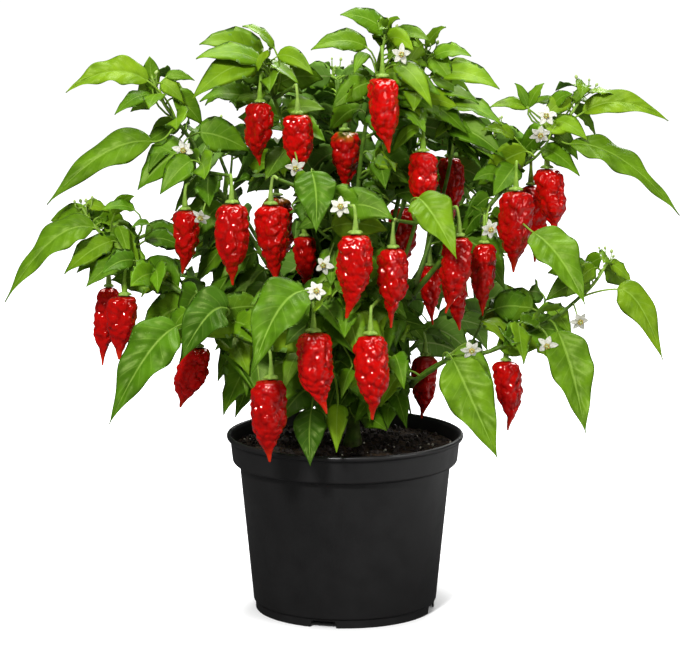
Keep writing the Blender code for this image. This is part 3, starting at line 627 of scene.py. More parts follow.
def blade(base, tip, rise, width, face, stations, columns, rng, quilt=0.0, wave=0.05, fold=0.2, curl=0.0,
          pairs=7,
          point=1.1):
    """A leaf blade as closed rings. The midrib is a quadratic curve that arches over the straight line. The
    half width follows s^0.7 (1-s)^point, a broad foot and a long tip. Over each half the surface rises by a
    fold, falls again by a curl with the square of the distance, and carries pillows between the side veins,
    and its edge waves as a sine. The underside lies a hair below."""
    base, tip, face = (np.asarray(p, float) for p in (base, tip, unit(face)))
    control = base + 0.42 * (tip - base) + 2 * rise * UP
    s = np.linspace(0, 1, stations)[:, None]
    mid = (1 - s) ** 2 * base + 2 * s * (1 - s) * control + s ** 2 * tip
    along = unit((1 - s) * (control - base) + s * (tip - control))
    across = unit(np.cross(along, face))
    up = np.cross(across, along)
    t = np.linspace(-1, 1, columns)[None, :]
    outline = s ** 0.7 * (1 - s) ** point
    half = np.maximum(0.5 * width * outline / outline.max(), 0.0007 * (1 - 0.6 * s))
    off = np.abs(t)
    pillow = np.abs(np.sin(math.pi * (pairs * (s - 0.20 * off ** 0.85) - 0.5))) ** 0.7
    pillow *= np.minimum(1, 6 * off) * (1 - off ** 4) * np.sin(math.pi * s) ** 0.5
    phase = rng.uniform(0, math.tau, 2)
    ripple = np.sin(math.tau * (2.0 + 1.4 * rng.random()) * s
                    + np.where(t > 0, phase[0], phase[1])) * off ** 3
    lift = half * (fold * off - curl * off ** 2) + width * (quilt * pillow
                                                            + wave * ripple * np.sin(math.pi * s))
    skew = width * rng.uniform(-0.06, 0.06) * np.sin(math.pi * s)
    top = mid[:, None] + across[:, None] * (half * t + skew)[..., None] + up[:, None] * lift[..., None]
    thick = 0.00045 * (1 - off ** 6) + 0.00075 * np.maximum(0, 1 - 14 * off)
    under = (top - up[:, None] * np.broadcast_to(thick, lift.shape)[..., None])[:, -2:0:-1]
    s, t = np.broadcast_arrays(s, t)
    back = np.where(np.abs(t) == 1, 0.5, 0.0)
    place = np.concatenate([np.stack([t, s, back], -1),
                            np.stack([t, s, np.ones_like(s)], -1)[:, -2:0:-1]], axis=1)
    return np.concatenate([top, under], axis=1), place


def add_leaf(mesh, root, base, tip, rise, width, face, rng, tint, fine=False, look=0):
    """A blade and the stalk that carries it from the wood."""
    stations, columns, steps, sides = (41, 21, 9, 8) if fine else (11, 7, 5, 4)
    quilt, wave = (rng.uniform(0.030, 0.042), rng.uniform(0.06, 0.11)) if fine else (0.0,
                                                                                     rng.uniform(0.03, 0.09))
    fold = rng.uniform(0.10, 0.40)
    curl = rng.uniform(0, 1.3) * fold
    grid, place = blade(base, tip, rise, width, face, stations, columns, rng, quilt, wave, fold, curl,
                        point=1.25 if fine else 1.15)
    mesh.add_rings(grid, place, tint, look)
    root, base, tip = (np.asarray(p, float) for p in (root, base, tip))
    leaving = unit(0.42 * (tip - base) + 2 * rise * UP)
    path = bend(root, base - leaving * 0.45 * np.linalg.norm(base - root), base + leaving * 0.002, steps)
    mesh.add_rings(tube(path, np.linspace(0.0010, 0.0007, steps), sides), (0.0, 0.3, 0.0), tint, look)


def chilli_body(top, tip, width, rng, crease, wrinkle):
    """A wrinkled chilli as closed rings. Its radius rises over the shoulder as a quarter circle, holds, and
    falls as a smooth step to a thin tail. Lobes, upright furrows and pillows are added straight out from
    the middle. The pillows are parabolas round seed points in uneven rows, and the softened least of them
    is the height, so creases run deep in some places and fade in others."""
    rings, sides = 122, 112
    share = np.linspace(0, 1, rings)
    share = share - 0.03 * np.sin(math.tau * share)
    turn = math.tau * np.arange(sides) / sides
    shoulder = np.sqrt(1 - (1 - np.clip(share / 0.20, 0, 1)) ** 2.2)
    hold, pinch = rng.uniform(0.38, 0.50), rng.uniform(0.96, 1.03)
    taper = 1 - 0.87 * smooth((share - hold) / (pinch - hold))
    radius = 0.5 * width * np.maximum(shoulder, 0.25) * taper * (1 - 0.5 * share ** 12)
    s, a = np.meshgrid(share, turn, indexing="ij")
    sway = rng.uniform(-0.9, 0.9) * s + 0.35 * np.sin(7 * s + rng.uniform(0, 6))
    lobes = 1 + (0.05 + 0.05 * np.exp(-5 * s)) * np.cos(rng.integers(3, 5) * a + sway
                                                        + rng.uniform(0, math.tau))
    tail = unit(np.append(rng.normal(size=2), 0)) * width * rng.uniform(0.02, 0.20)
    centre = top + s[..., None] * (tip - top) + smooth((s - 0.70) / 0.3)[..., None] ** 1.5 * tail
    belly = unit(np.append(rng.normal(size=2), 0)) * width * rng.uniform(0.02, 0.08)
    centre = centre + np.sin(math.pi * s)[..., None] * belly
    outward = np.stack([np.cos(a), -np.sin(a), np.zeros_like(a)], -1)
    sunk = 0.08 * width * np.clip(1 - s / 0.07, 0, 1) ** 1.5
    surface = centre + outward * (radius[:, None] * lobes)[..., None] - sunk[..., None] * UP
    flat = surface.reshape(-1, 3)
    dents = lumps(rng, 30, 200, 520)(flat * (1, 1, 0.4)).reshape(s.shape)
    fine = lumps(rng, 60, 900, 2200)(flat * (1, 1, 0.7)).reshape(s.shape)
    seeds = pillow_seeds(surface, radius, crease, rng)
    squares = (flat ** 2).sum(1)[:, None] + (seeds ** 2).sum(1)[None, :] - 2 * flat @ seeds.T
    softness = 9 / crease ** 2
    least = -np.log(np.exp(-softness * np.maximum(squares, 0)).sum(1) + 1e-30).reshape(s.shape) / softness
    pillow = np.clip(1 - least / (0.42 * crease ** 2), -0.2, 1.1)
    fade = np.clip(radius / (0.32 * width), 0, 1)[:, None]
    height = (dents * 0.034 * width + (pillow - 0.55) * wrinkle + fine * 0.00044) * fade
    surface = surface + outward * height[..., None]
    return surface, np.stack([pillow, s, dents], -1)


def pillow_seeds(surface, radius, crease, rng):
    """Points over a grid of rings, in rows about a crease spacing apart and about as far apart along each
    row, each shifted at random by up to three fifths of that."""
    rings, sides, _ = surface.shape
    run = np.append(0, np.cumsum(np.linalg.norm(np.diff(surface[:, 0], axis=0), axis=1)))
    seeds = []
    for level in np.arange(0.3 * crease, run[-1], 0.88 * crease):
        ring = np.searchsorted(run, level)
        count = max(3, round(math.tau * radius[ring] / crease))
        column = (np.arange(count) + rng.random() + rng.uniform(-0.55, 0.55, count)) * sides / count
        row = ring + rng.uniform(-0.6, 0.6, count) * crease * rings / run[-1]
        row = np.clip(row, 0, rings - 1).astype(int)
        seeds.append(surface[row, column.astype(int) % sides])
    return np.vstack(seeds) + rng.normal(size=(sum(map(len, seeds)), 3)) * 0.06 * crease


def calyx(top, width, rng):
    """A shallow cap with five soft points over a chilli's shoulder, from the stalk's end outwards and back
    under."""
    reach = 0.19 * width
    radius = np.array([0.0015, 0.0018, 0.5 * reach, 0.85 * reach, reach, 0.92 * reach, 0.4 * reach])
    height = np.array([0.0042, 0.0026, 0.0016, 0.0008, -0.0004, -0.0010, -0.0012])
    turn = math.tau * np.arange(30) / 30
    lobe = 1 + 0.16 * np.cos(5 * turn + rng.uniform(0, 6))[None, :] * (radius / reach)[:, None]
    ring = np.stack([np.cos(turn), np.sin(turn)], -1)
    flat = radius[:, None, None] * lobe[..., None] * ring[None]
    rise = np.broadcast_to(height[:, None, None], (len(height), 30, 1))
    return top + np.concatenate([flat[::-1], rise[::-1]], -1)


def bud(foot, along, size):
    """An egg: circles along an axis with the radius of an ellipse, widest past the middle."""
    s = np.linspace(0, 1, 9)
    path = foot + np.outer(s, unit(along)) * size
    return tube(path, size * 0.30 * np.sin(math.pi * np.clip(s, 0.03, 0.97) ** 1.2) + 0.0001, 10)


# Where things grow.


class Plant:
    """The wood's centrelines, the chillies' places as the CAD holds them, and what the foliage keeps clear
    of."""

    def __init__(self):
        self.paths = {name: flowing(corners, 6) for name, (_, corners) in LIMBS.items()}
        self.trunk = flowing(TRUNK, 8)
        self.wood = np.vstack([self.trunk[6:], *(path[:-2] for path in self.paths.values())])
        self.fruits = {name: self.measure(name) for name in sorted(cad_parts)
                       if name.startswith("chilli_")}
        for x, y, z, length, drift, width in INNER_FRUITS:
            name = f"chilli_{len(self.fruits) + 1:02d}"
            self.fruits[name] = (np.array((x, y, z)), np.array((x + drift, y, z - length)), width)
        self.tops, self.tips = (np.array([fruit[k] for fruit in self.fruits.values()]) for k in (0, 1))
        self.widths = np.array([fruit[2] for fruit in self.fruits.values()])
        self.stars = np.array([middle for middle, _ in FLOWERS])
        self.long = np.array([[leaf[0], leaf[1]] for leaf in LONG_LEAVES])
        self.long_widths = np.array([leaf[3] for leaf in LONG_LEAVES])
        rng = np.random.default_rng(41)
        self.twigs = {name: self.side_twigs(path, rng) for name, path in self.paths.items()}
        self.bearing = np.vstack([self.wood, *(twig for twigs in self.twigs.values() for twig in twigs)])

    def side_twigs(self, path, rng):
        """Short twigs off a limb, each a quadratic curve that leaves it sideways and bends up. They turn by
        turns to either side, and none hides what should show."""
        run = travelled(path)
        twigs = []
        for k, distance in enumerate(np.arange(0.24 * run[-1], 0.92 * run[-1], 0.034)):
            root = at_distance(path, run, distance)
            on = unit((at_distance(path, run, distance + 0.01) - root) * (1, 1, 0.3))
            for attempt in range(6):
                turn = (-1) ** (k + attempt) * rng.uniform(0.6, 1.5)
                heading = turned_about_z(on, turn) + unit(root * (1, 1, 0)) * 0.5
                heading = unit(heading * (1, 1, 0)) + UP * rng.uniform(0.1, 0.8)
                reach = rng.uniform(0.026, 0.050) * (1.15 - 0.4 * distance / run[-1])
                twig = bend(root, root + unit(heading) * 0.55 * reach,
                            root + unit(heading + 0.4 * UP) * reach, 8)
                inside = (twig[-1] > CAD_LOW + 0.02).all() and (twig[-1] < CAD_HIGH - 0.02).all()
                if inside and not self.covers(twig[1:]):
                    twigs.append(twig)
                    break
        return twigs

    @staticmethod
    def measure(name):
        """A chilli's shoulder, tip and width, read from its CAD solid: the tip is the lowest point, the
        shoulder is a stalk's height under the highest, and the width is twice the reach of the widest ring.
        """
        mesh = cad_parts[name].data
        points = np.empty(len(mesh.vertices) * 3, np.float32)
        mesh.vertices.foreach_get("co", points)
        points = points.reshape(-1, 3).astype(float)
        stalk_height, widest = 0.0228, 0.24
        low, high = points[:, 2].min(), points[:, 2].max() - stalk_height
        tip = points[points[:, 2] < low + 0.0004].mean(axis=0)
        ring = points[np.abs(points[:, 2] - (high + widest * (low - high))) < 0.003]
        middle = (ring.min(axis=0) + ring.max(axis=0)) / 2
        width = 2 * np.linalg.norm((ring - middle)[:, :2], axis=1).max()
        top = np.append(middle[:2] - widest * (tip - middle)[:2] / (1 - widest), high)
        return top, np.append(tip[:2], low), width

    def nearest(self, point):
        """The limbs' point that is nearest to a point; one below it or beside it counts as further."""
        gap = (self.wood - point) * (1.6, 0.9, 1)
        return self.wood[(np.linalg.norm(gap, axis=1) + 0.5 * np.maximum(0, -gap[:, 2])).argmin()]

    def bearer(self, point):
        """The point of a limb or a twig that a leaf at a point grows from."""
        return self.bearing[np.linalg.norm(self.bearing - point, axis=1).argmin()]

    def stalk_seat(self, top):
        """Where a chilli's stalk leaves its twig, above the shoulder and towards the nearest wood, and the
        way the twig arrives there: rising from wood below, and falling from wood above."""
        above = top + 0.020 * UP
        root = self.nearest(above)
        lean = (root - above) * (1, 1, 0)
        lean = unit(lean) if np.linalg.norm(lean) > 1e-6 else np.array((0.0, 1.0, 0.0))
        seat = above + 0.007 * lean
        climb = np.clip((seat - root)[2] / np.linalg.norm(seat - root), -0.5, 0.6)
        return root, seat, unit(climb * UP - lean)

    def covers(self, points):
        """Whether points would hide a chilli, a flower or a long leaf from the front, or touch a chilli."""
        x, y, level = points[:, 0, None], points[:, 1,
                                                 None], (points[:, 2] + FRONT_SLOPE * points[:, 1])[:, None]
        top_level = self.tops[:, 2] + FRONT_SLOPE * self.tops[:, 1]
        tip_level = self.tips[:, 2] + FRONT_SLOPE * self.tips[:, 1]
        over = (np.abs(x - self.tops[:, 0]) < 0.46 * self.widths) & (level < top_level + 0.002)
        over &= (level > tip_level - 0.002) & (y < self.tops[:, 1])
        if over.any():
            return True
        axis = self.tips - self.tops
        along = np.clip(((points[:, None] - self.tops) * axis).sum(-1) / (axis ** 2).sum(-1), 0, 1)
        foot = self.tops + along[..., None] * axis
        if (np.linalg.norm(points[:, None] - foot, axis=-1) < 0.55 * self.widths * (1 - 0.6 * along)).any():
            return True
        star_level = self.stars[:, 2] + FRONT_SLOPE * self.stars[:, 1]
        if ((np.hypot(x - self.stars[:, 0], level - star_level) < 0.009) & (y < self.stars[:, 1])).any():
            return True
        flat = self.long[..., [0, 2]] + FRONT_SLOPE * self.long[..., [1]] * (0, 1)
        run = flat[:, 1] - flat[:, 0]
        spot = np.concatenate([x, level], axis=1)[:, None]
        share = np.clip(((spot - flat[:, 0]) * run).sum(-1) / (run ** 2).sum(-1), 0, 1)
        gap = np.linalg.norm(spot - flat[:, 0] - share[..., None] * run, axis=-1)
        depth = self.long[:, 0, 1] + share * (self.long[:, 1, 1] - self.long[:, 0, 1])
        return bool(((gap < 0.36 * self.long_widths) & (y < depth + 0.004)).any())


PLANT = Plant()


def leaf_points(base, tip, rise, width):
    """Fifteen points over a blade, to test what it would cover."""
    mid = bend(base, base + 0.42 * (tip - base) + 2 * rise * UP, tip, 5)
    across = unit(np.cross(tip - base, UP)) * 0.4 * width
    return np.vstack([mid, mid[1:4] + across, mid[1:4] - across])


def outlook(point):
    """The way a leaf's upper face turns at a point of the bush: up, out from the middle, and to the nearer
    of front and back."""
    depth = math.tanh((point[1] - 0.055) / 0.03)
    return 0.50 * UP + 0.35 * unit(point * (1, 1, 0)) + np.array((0.0, 0.95 * depth, 0.0))


def shade_at(point):
    """Share of shade deep in the bush: one less the square of the distance from its middle over its half
    sizes."""
    off = (point - (0.0, 0.00, 0.24)) / (0.20, 0.14, 0.19)
    return float(np.clip(1.0 - (off ** 2).sum(), 0, 1))


def grow_leaf(mesh, root, heading, length, droop, rng, yellow, tries=8, spread=0.7):
    """A leaf from a point of the wood. It sets off along a level heading, arches and droops, and turns
    round the wood, a little shorter each time, until it hides nothing that should show."""
    low, high = CAD_LOW - 0.006, CAD_HIGH + 0.006
    for attempt in range(tries):
        turn = math.atan2(heading[1], heading[0]) + rng.normal() * (0.25 + spread * attempt)
        level = np.array((math.cos(turn), math.sin(turn), 0.0))
        size = length * rng.uniform(0.85, 1.1) * 0.95 ** attempt
        stalk = 0.20 * size
        base = root + level * stalk * 0.85 + UP * stalk * rng.uniform(0.2, 0.8)
        tip = base + unit(level - UP * droop * rng.uniform(-0.1, 2.0)) * size
        rise, width = size * rng.uniform(0.06, 0.16), size * rng.uniform(0.54, 0.68)
        in_pot = tip[2] < CLEAR_OF_POT and math.hypot(tip[0], tip[1]) < POT_HIGH[0] + 0.01
        if in_pot or (tip < low).any() or (tip > high).any() or PLANT.covers(leaf_points(base, tip, rise,
                                                                                         width)):
            continue
        face = outlook(root) + level * 0.2 + rng.normal(size=3) * 0.33
        tint = (yellow, shade_at(tip), rng.random())
        add_leaf(mesh, root, base, tip, rise, width, face, rng, tint)
        return True
    return False


def sparse_at(point):
    """Share of leaves that are left out at a point: more of them out at the sides and low over the pot."""
    side = np.clip((abs(point[0]) - 0.04) / 0.12, 0, 0.42)
    low = np.clip((0.285 - point[2]) / 0.06, 0, 0.40)
    return float(min(side + low, 0.52))


def droop_at(point):
    """How steeply leaves hang at a point, from nearly level at the top to steep in the lowest third."""
    return float(np.interp(point[2], (0.20, 0.32, 0.42, 0.48), (0.95, 0.70, 0.50, 0.30)))


def rounded(corners, reach, steps=4):
    """An outline whose corners are turned into quadratic arcs that start and end a given reach from each."""
    corners = np.asarray(corners, float)
    out = [corners[:1]]
    for before, here, after in zip(corners, corners[1:], corners[2:]):
        back, on = before - here, after - here
        start = here + unit(back) * min(reach, 0.45 * np.linalg.norm(back))
        end = here + unit(on) * min(reach, 0.45 * np.linalg.norm(on))
        t = np.linspace(0, 1, steps)[:, None]
        out.append((1 - t) ** 2 * start + 2 * t * (1 - t) * here + t ** 2 * end)
    return np.vstack([*out, corners[-1:]])


def turned(outline, sides):
    """Rings of a solid of revolution: each outline point (radius, height) swept round Z."""
    turn = math.tau * np.arange(sides) / sides
    grid = np.empty((len(outline), sides, 3))
    grid[..., 0] = outline[:, :1] * np.cos(turn)
    grid[..., 1] = outline[:, :1] * np.sin(turn)
    grid[..., 2] = outline[:, 1:]
    return grid


# Settings.


class ChilliPotSettings(bpy.types.PropertyGroup):
    """Sizes and colour of the pot and its soil."""

    sides: bpy.props.IntProperty(name="Sides", description="Flats round the pot", default=320, min=24)
    notches: bpy.props.IntProperty(name="Notches", description="Drain notches in the foot ring", default=4,
                                   min=0)
    notch_height: bpy.props.FloatProperty(
        name="Notch height", description="How far a notch reaches up", default=0.0056, unit="LENGTH")
    wall: bpy.props.FloatProperty(name="Wall", description="Thickness of the wall", default=0.0011,
                                  unit="LENGTH")
    plastic: bpy.props.FloatVectorProperty(
        name="Plastic", description="Colour of the pot", subtype="COLOR", size=3,
        default=(0.0085, 0.0082, 0.0083))
    crumbs: bpy.props.IntProperty(name="Crumbs", description="Lumps on the soil", default=900, min=0)
    perlite: bpy.props.IntProperty(name="Perlite", description="Pale grains on the soil", default=70, min=0)


class ChilliFruitSettings(bpy.types.PropertyGroup):
    """Skin of the chillies."""

    flesh: bpy.props.FloatVectorProperty(
        name="Flesh", description="Colour of a ripe chilli", subtype="COLOR", size=3,
        default=(0.520, 0.0030, 0.0020))
    crease: bpy.props.FloatProperty(
        name="Crease spacing", description="Distance between creases", default=0.0060, unit="LENGTH")
    wrinkle: bpy.props.FloatProperty(
        name="Wrinkle height", description="Height of a pillow over its crease", default=0.0016,
        unit="LENGTH")
    stalk: bpy.props.FloatProperty(
        name="Stalk radius", description="Radius of a chilli's stalk", default=0.0013, unit="LENGTH")


class ChilliLeafSettings(bpy.types.PropertyGroup):
    """Size, number and colour of the leaves."""

    blade: bpy.props.FloatVectorProperty(
        name="Blade", description="Green of a grown leaf", subtype="COLOR", size=3,
        default=(0.056, 0.155, 0.004))
    pairs: bpy.props.IntProperty(name="Vein pairs", description="Side veins on each half", default=7, min=3)
    spacing: bpy.props.FloatProperty(
        name="Spacing", description="Distance between nodes along a limb", default=0.017, unit="LENGTH")
    length: bpy.props.FloatProperty(
        name="Length", description="Length of a grown leaf's blade", default=0.064, unit="LENGTH")


class ChilliStudioSettings(bpy.types.PropertyGroup):
    """Camera, floor and light."""

    lens: bpy.props.FloatProperty(name="Lens", description="Focal length in millimetres", default=168.7)
    pitch: bpy.props.FloatProperty(
        name="Pitch", description="How far the camera looks down", default=math.radians(10.1),
        subtype="ANGLE")
    world: bpy.props.FloatProperty(name="World", description="Strength of the white surroundings",
                                   default=0.22)
    glow: bpy.props.FloatProperty(name="Glow", description="Light that the floor gives off", default=0.83)
    key: bpy.props.FloatProperty(name="Key", description="Power of the main soft light", default=80.0)


def settings():
    return bpy.context.scene.chilli_plant


class ChilliPlantSettings(bpy.types.PropertyGroup):
    """All settings of the plant."""

    pot: bpy.props.PointerProperty(type=ChilliPotSettings)
    fruit: bpy.props.PointerProperty(type=ChilliFruitSettings)
    leaf: bpy.props.PointerProperty(type=ChilliLeafSettings)
    studio: bpy.props.PointerProperty(type=ChilliStudioSettings)


def material(name, build, *facts):
    """A material by name, built the first time it is asked for."""
    return bpy.data.materials.get(name) or build(*facts)


def leaf_material():
    leaf = settings().leaf
    return material("leaf_blade", leaf_look, "leaf_blade", tuple(leaf.blade), leaf.pairs)


def stalk_material():
    return material("stalk", stalk_look)


# Operators.


class CHILLI_OT_pot(bpy.types.Operator):
    """Build the moulded plastic pot"""

    bl_idname = "chilli.pot"
    bl_label = "Pot"

    def execute(self, context):
        pot = settings().pot
        height, wall = POT_HIGH[2], pot.wall
        lip = POT_HIGH[0]
        band_top, band_foot, band_foot_z = lip - 0.0030, lip - 0.0050, 0.1262
        body_top, body_foot, foot, foot_z = lip - 0.0108, 0.0772, 0.0755, 0.0070
        plate, plate_thick = 0.0066, 0.0018
        outside = [
            (0.001, plate), (foot - wall - 0.001, plate), (foot - wall, 0.0), (foot, 0.0),
            (foot + 0.0002, foot_z),
            (body_foot, foot_z + 0.0010), (body_top, band_foot_z - 0.0012),
            (band_foot - 0.0014, band_foot_z - 0.0005),
            (band_foot, band_foot_z + 0.0010), (band_top, height - 0.0048), (lip - 0.0008, height - 0.0044),
            (lip, height - 0.0028), (lip - 0.0002, height - 0.0008), (lip - 0.0020, height),
            (band_top - wall + 0.0006, height - 0.0004), (band_top - wall - 0.0004, height - 0.0030),
            (band_foot - wall, band_foot_z + 0.0030), (body_top - wall, band_foot_z + 0.0014),
            (body_foot - wall, plate + plate_thick), (0.001, plate + plate_thick)]
        shell = turned(rounded(outside, 0.0009, 5), pot.sides)
        angle = np.arctan2(shell[..., 1], shell[..., 0])
        reach = np.hypot(shell[..., 0], shell[..., 1])
        width, front = 0.021 / foot, math.radians(-104)
        turn_share = math.tau / pot.notches
        off = np.abs((angle - front + turn_share / 2) % turn_share - turn_share / 2)
        notch = smooth((width / 2 + 0.006 - off) / 0.012)
        low = (shell[..., 2] < pot.notch_height) & (reach > foot - 0.004)
        shell[..., 2] = np.where(low, shell[..., 2] + (pot.notch_height - shell[..., 2]) * notch,
                                 shell[..., 2])
        mesh = Mesh()
        mesh.add_rings(shell)
        made = mesh.make("pot", [plastic_look(tuple(pot.plastic))], "pot_plastic", ["pot"])
        self.drill(made, front + turn_share / 2, pot.notches)
        return {"FINISHED"}

    @staticmethod
    def drill(pot, first, count):
        """Cuts the drain holes of the base plate, then keeps the cut mesh."""
        drill = Mesh()
        for i in range(count):
            at = np.array((math.cos(first + math.tau * i / count), math.sin(first + math.tau * i / count),
                           0)) * 0.062
            drill.add_rings(tube(at + np.outer(np.linspace(0.003, 0.012, 4), UP), 0.005, 28))
        cutter = drill.make("drain_cutter", [], "pot_plastic")
        cut = pot.modifiers.new("drain", "BOOLEAN")
        cut.operation, cut.solver, cut.object = "DIFFERENCE", "EXACT", cutter
        bpy.context.view_layer.update()
        evaluated = pot.evaluated_get(bpy.context.evaluated_depsgraph_get())
        drilled = bpy.data.meshes.new_from_object(evaluated)
        pot.modifiers.clear()
        pot.data = drilled
        bpy.data.objects.remove(cutter)


class CHILLI_OT_soil(bpy.types.Operator):
    """Fill the pot with potting mix"""

    bl_idname = "chilli.soil"
    bl_label = "Soil"

    def execute(self, context):
        pot = settings().pot
        rng = np.random.default_rng(21)
        edge = SOIL_HIGH[0]
        level = 0.138
        rough = lumps(rng, 60, 70, 900)

        def surface(points):
            """Soil level: a low mound round the trunk and lumps of all sizes."""
            from_middle = np.hypot(points[..., 0], points[..., 1]) / edge
            crumbs = 0.0016 * rough(points * (1, 1, 0)) * (1.02 - from_middle ** 6)
            return level + 0.003 * (1 - from_middle) + crumbs

        wall = [(0.001, SOIL_LOW[2]), (0.0745, SOIL_LOW[2]), (0.0862, 0.1270), (edge - 0.0012, 0.1285),
                (edge - 0.0006, level - 0.001)]
        cover = turned(np.stack([np.linspace(edge - 0.0005, 0.0005, 70), np.full(70, level)], -1), 150)
        cover[..., 2] = surface(cover)
        side = turned(np.array(wall), 150)
        mesh = Mesh()
        mesh.add_rings(np.concatenate([side, cover]))
        mesh.make("soil", [soil_look()], "soil", ["soil"])

        ball = ico_ball()
        for name, count, sizes, look in (("soil_crumbs", pot.crumbs, (0.0008, 0.0030),
                                          bpy.data.materials["soil"]),
                                         ("perlite", pot.perlite, (0.0008, 0.0018), perlite_look())):
            place = rng.uniform(0, 1, (count, 2))
            reach, turn = (edge - 0.003) * np.sqrt(place[:, 0]), math.tau * place[:, 1]
            at = np.stack([reach * np.cos(turn), reach * np.sin(turn), np.zeros(count)], -1)
            size = sizes[0] + (sizes[1] - sizes[0]) * rng.random(count) ** 2.2
            at[:, 2] = surface(at) + 0.35 * size
            shape = ball[0] * rng.uniform(0.65, 1.25, (count, 12, 1)) * rng.uniform(0.6, 1.1, (count, 1, 3))
            points = at[:, None] + shape * size[:, None, None]
            faces = ball[1][None] + 12 * np.arange(count)[:, None, None]
            tint = np.repeat(rng.random((count, 1)) ** 3, 12, axis=0)
            lumpy = Mesh()
            lumpy.add_faces(points.reshape(-1, 3), faces.reshape(-1, 3), np.zeros((12 * count, 3)),
                            tint * (1, 1, 1))
            lumpy.make(name, [look], "soil", flat=True)
        return {"FINISHED"}


def ico_ball():
    """Twelve points and twenty faces of an icosahedron of radius one, from the golden ratio."""
    g = (1 + math.sqrt(5)) / 2
    points = unit(np.array([(-1, g, 0), (1, g, 0), (-1, -g, 0), (1, -g, 0), (0, -1, g), (0, 1, g),
                            (0, -1, -g),
                            (0, 1, -g), (g, 0, -1), (g, 0, 1), (-g, 0, -1), (-g, 0, 1)]))
    faces = np.array([(0, 11, 5), (0, 5, 1), (0, 1, 7), (0, 7, 10), (0, 10, 11), (1, 5, 9), (5, 11, 4),
                      (11, 10, 2),
                      (10, 7, 6), (7, 1, 8), (3, 9, 4), (3, 4, 2), (3, 2, 6), (3, 6, 8), (3, 8, 9), (4, 9, 5),
                      (2, 4, 11), (6, 2, 10), (8, 6, 7), (9, 8, 1)])
    return points, faces


class CHILLI_OT_stem(bpy.types.Operator):
    """Grow the trunk, the limbs and the twigs to the chillies"""

    bl_idname = "chilli.stem"
    bl_label = "Stem"

    def execute(self, context):
        mesh = Mesh()
        trunk = PLANT.trunk
        share = np.linspace(0, 1, len(trunk))
        radius = 0.0060 - 0.0012 * share + 0.0030 * np.exp(-((trunk[:, 2] - 0.137) / 0.010) ** 2)
        mesh.add_rings(tube(trunk, radius, 20, wobble=0.06), (1.0, 0.0, 0.0))
        for name, (start, _) in LIMBS.items():
            path = PLANT.paths[name]
            run = travelled(path)
            share = run / run[-1]
            nodes = 0.14 * np.exp(-((run % 0.021 - 0.0105) / 0.0022) ** 2)
            foot = 0.9 * start
            slim = foot + (TWIG_END - foot) * share ** 0.55
            radius = slim * (1 + nodes) + 0.0018 * np.exp(-run / 0.008)
            age = np.stack([np.clip(0.75 - 2.2 * share, 0, 1), share, np.zeros_like(share)], -1)[:, None]
            mesh.add_rings(tube(path, radius, 12, wobble=0.04), age)
            for twig in PLANT.twigs[name]:
                mesh.add_rings(tube(twig, np.linspace(0.0013, 0.0009, len(twig)), 7))
        for top, _, _ in PLANT.fruits.values():
            root, seat, arrival = PLANT.stalk_seat(top)
            path = bend(root, seat - arrival * 0.45 * np.linalg.norm(seat - root), seat, 12)
            mesh.add_rings(tube(path, np.linspace(0.0018, 0.0013, 12), 9))
        mesh.make("stem", [stem_look()], "stem", ["stem"])
        return {"FINISHED"}


class CHILLI_OT_chillies(bpy.types.Operator):
    """Hang the chillies, each with its stalk and calyx"""

    bl_idname = "chilli.chillies"
    bl_label = "Chillies"

    def execute(self, context):
        fruit = settings().fruit
        flesh = flesh_look(tuple(fruit.flesh))
        for i, (name, (top, tip, width)) in enumerate(PLANT.fruits.items()):
            rng = np.random.default_rng(100 + i)
            body, place = chilli_body(top, tip, width * 0.89, rng, fruit.crease, fruit.wrinkle)
            mesh = Mesh()
            mesh.add_rings(body, place, (UNRIPE.get(name, 0.0), rng.random(), 0.0))
            held = [name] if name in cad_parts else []
            mesh.make(name, [flesh], "chilli_flesh", held)
            _, seat, arrival = PLANT.stalk_seat(top)
            corners = [seat, seat + arrival * 0.005, top + 0.011 * UP, top + 0.001 * UP]
            path = flowing(corners, 7)
            share = np.linspace(0, 1, len(path))
            radius = fruit.stalk * (1 + 0.9 * smooth((share - 0.55) / 0.45))
            stalk = Mesh()
            stalk.add_rings(tube(path, radius, 12, wobble=0.05), None, (0.25 * rng.random(), 0, 0))
            stalk.add_rings(calyx(top, width, rng), None, (0.15, 0, 0))
            stalk.make(f"{name}_stalk", [stalk_material()], "stem")
        return {"FINISHED"}


class CHILLI_OT_long_leaves(bpy.types.Operator):
    """Hang the long leaves that droop outside the bush"""

    bl_idname = "chilli.long_leaves"
    bl_label = "Long leaves"

    def execute(self, context):
        for i, (base, tip, rise, width, face, yellow) in enumerate(LONG_LEAVES):
            rng = np.random.default_rng(300 + i)
            name = f"leaf_{i + 1:02d}"
            low, high = (np.array(corner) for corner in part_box(name))
            if (np.minimum(base, tip) < low - 0.002).any() or (np.maximum(base, tip) > high + 0.002).any():
                raise RuntimeError(f"{name} doesn't lie in its CAD solid's box")
            mesh = Mesh()
            root = PLANT.nearest(np.array(base))
            # A positive last column gives yellow; a negative one gives the share of painted shade that darkens
            # the green.
            tint = (0.55 * max(yellow, 0.0), max(-yellow, 0.0), 0.4 * rng.random())
            add_leaf(mesh, root, base, tip, rise, width * 0.94, face, rng, tint, fine=True)
            mesh.make(name, [leaf_material()], "leaf", [name])
        return {"FINISHED"}


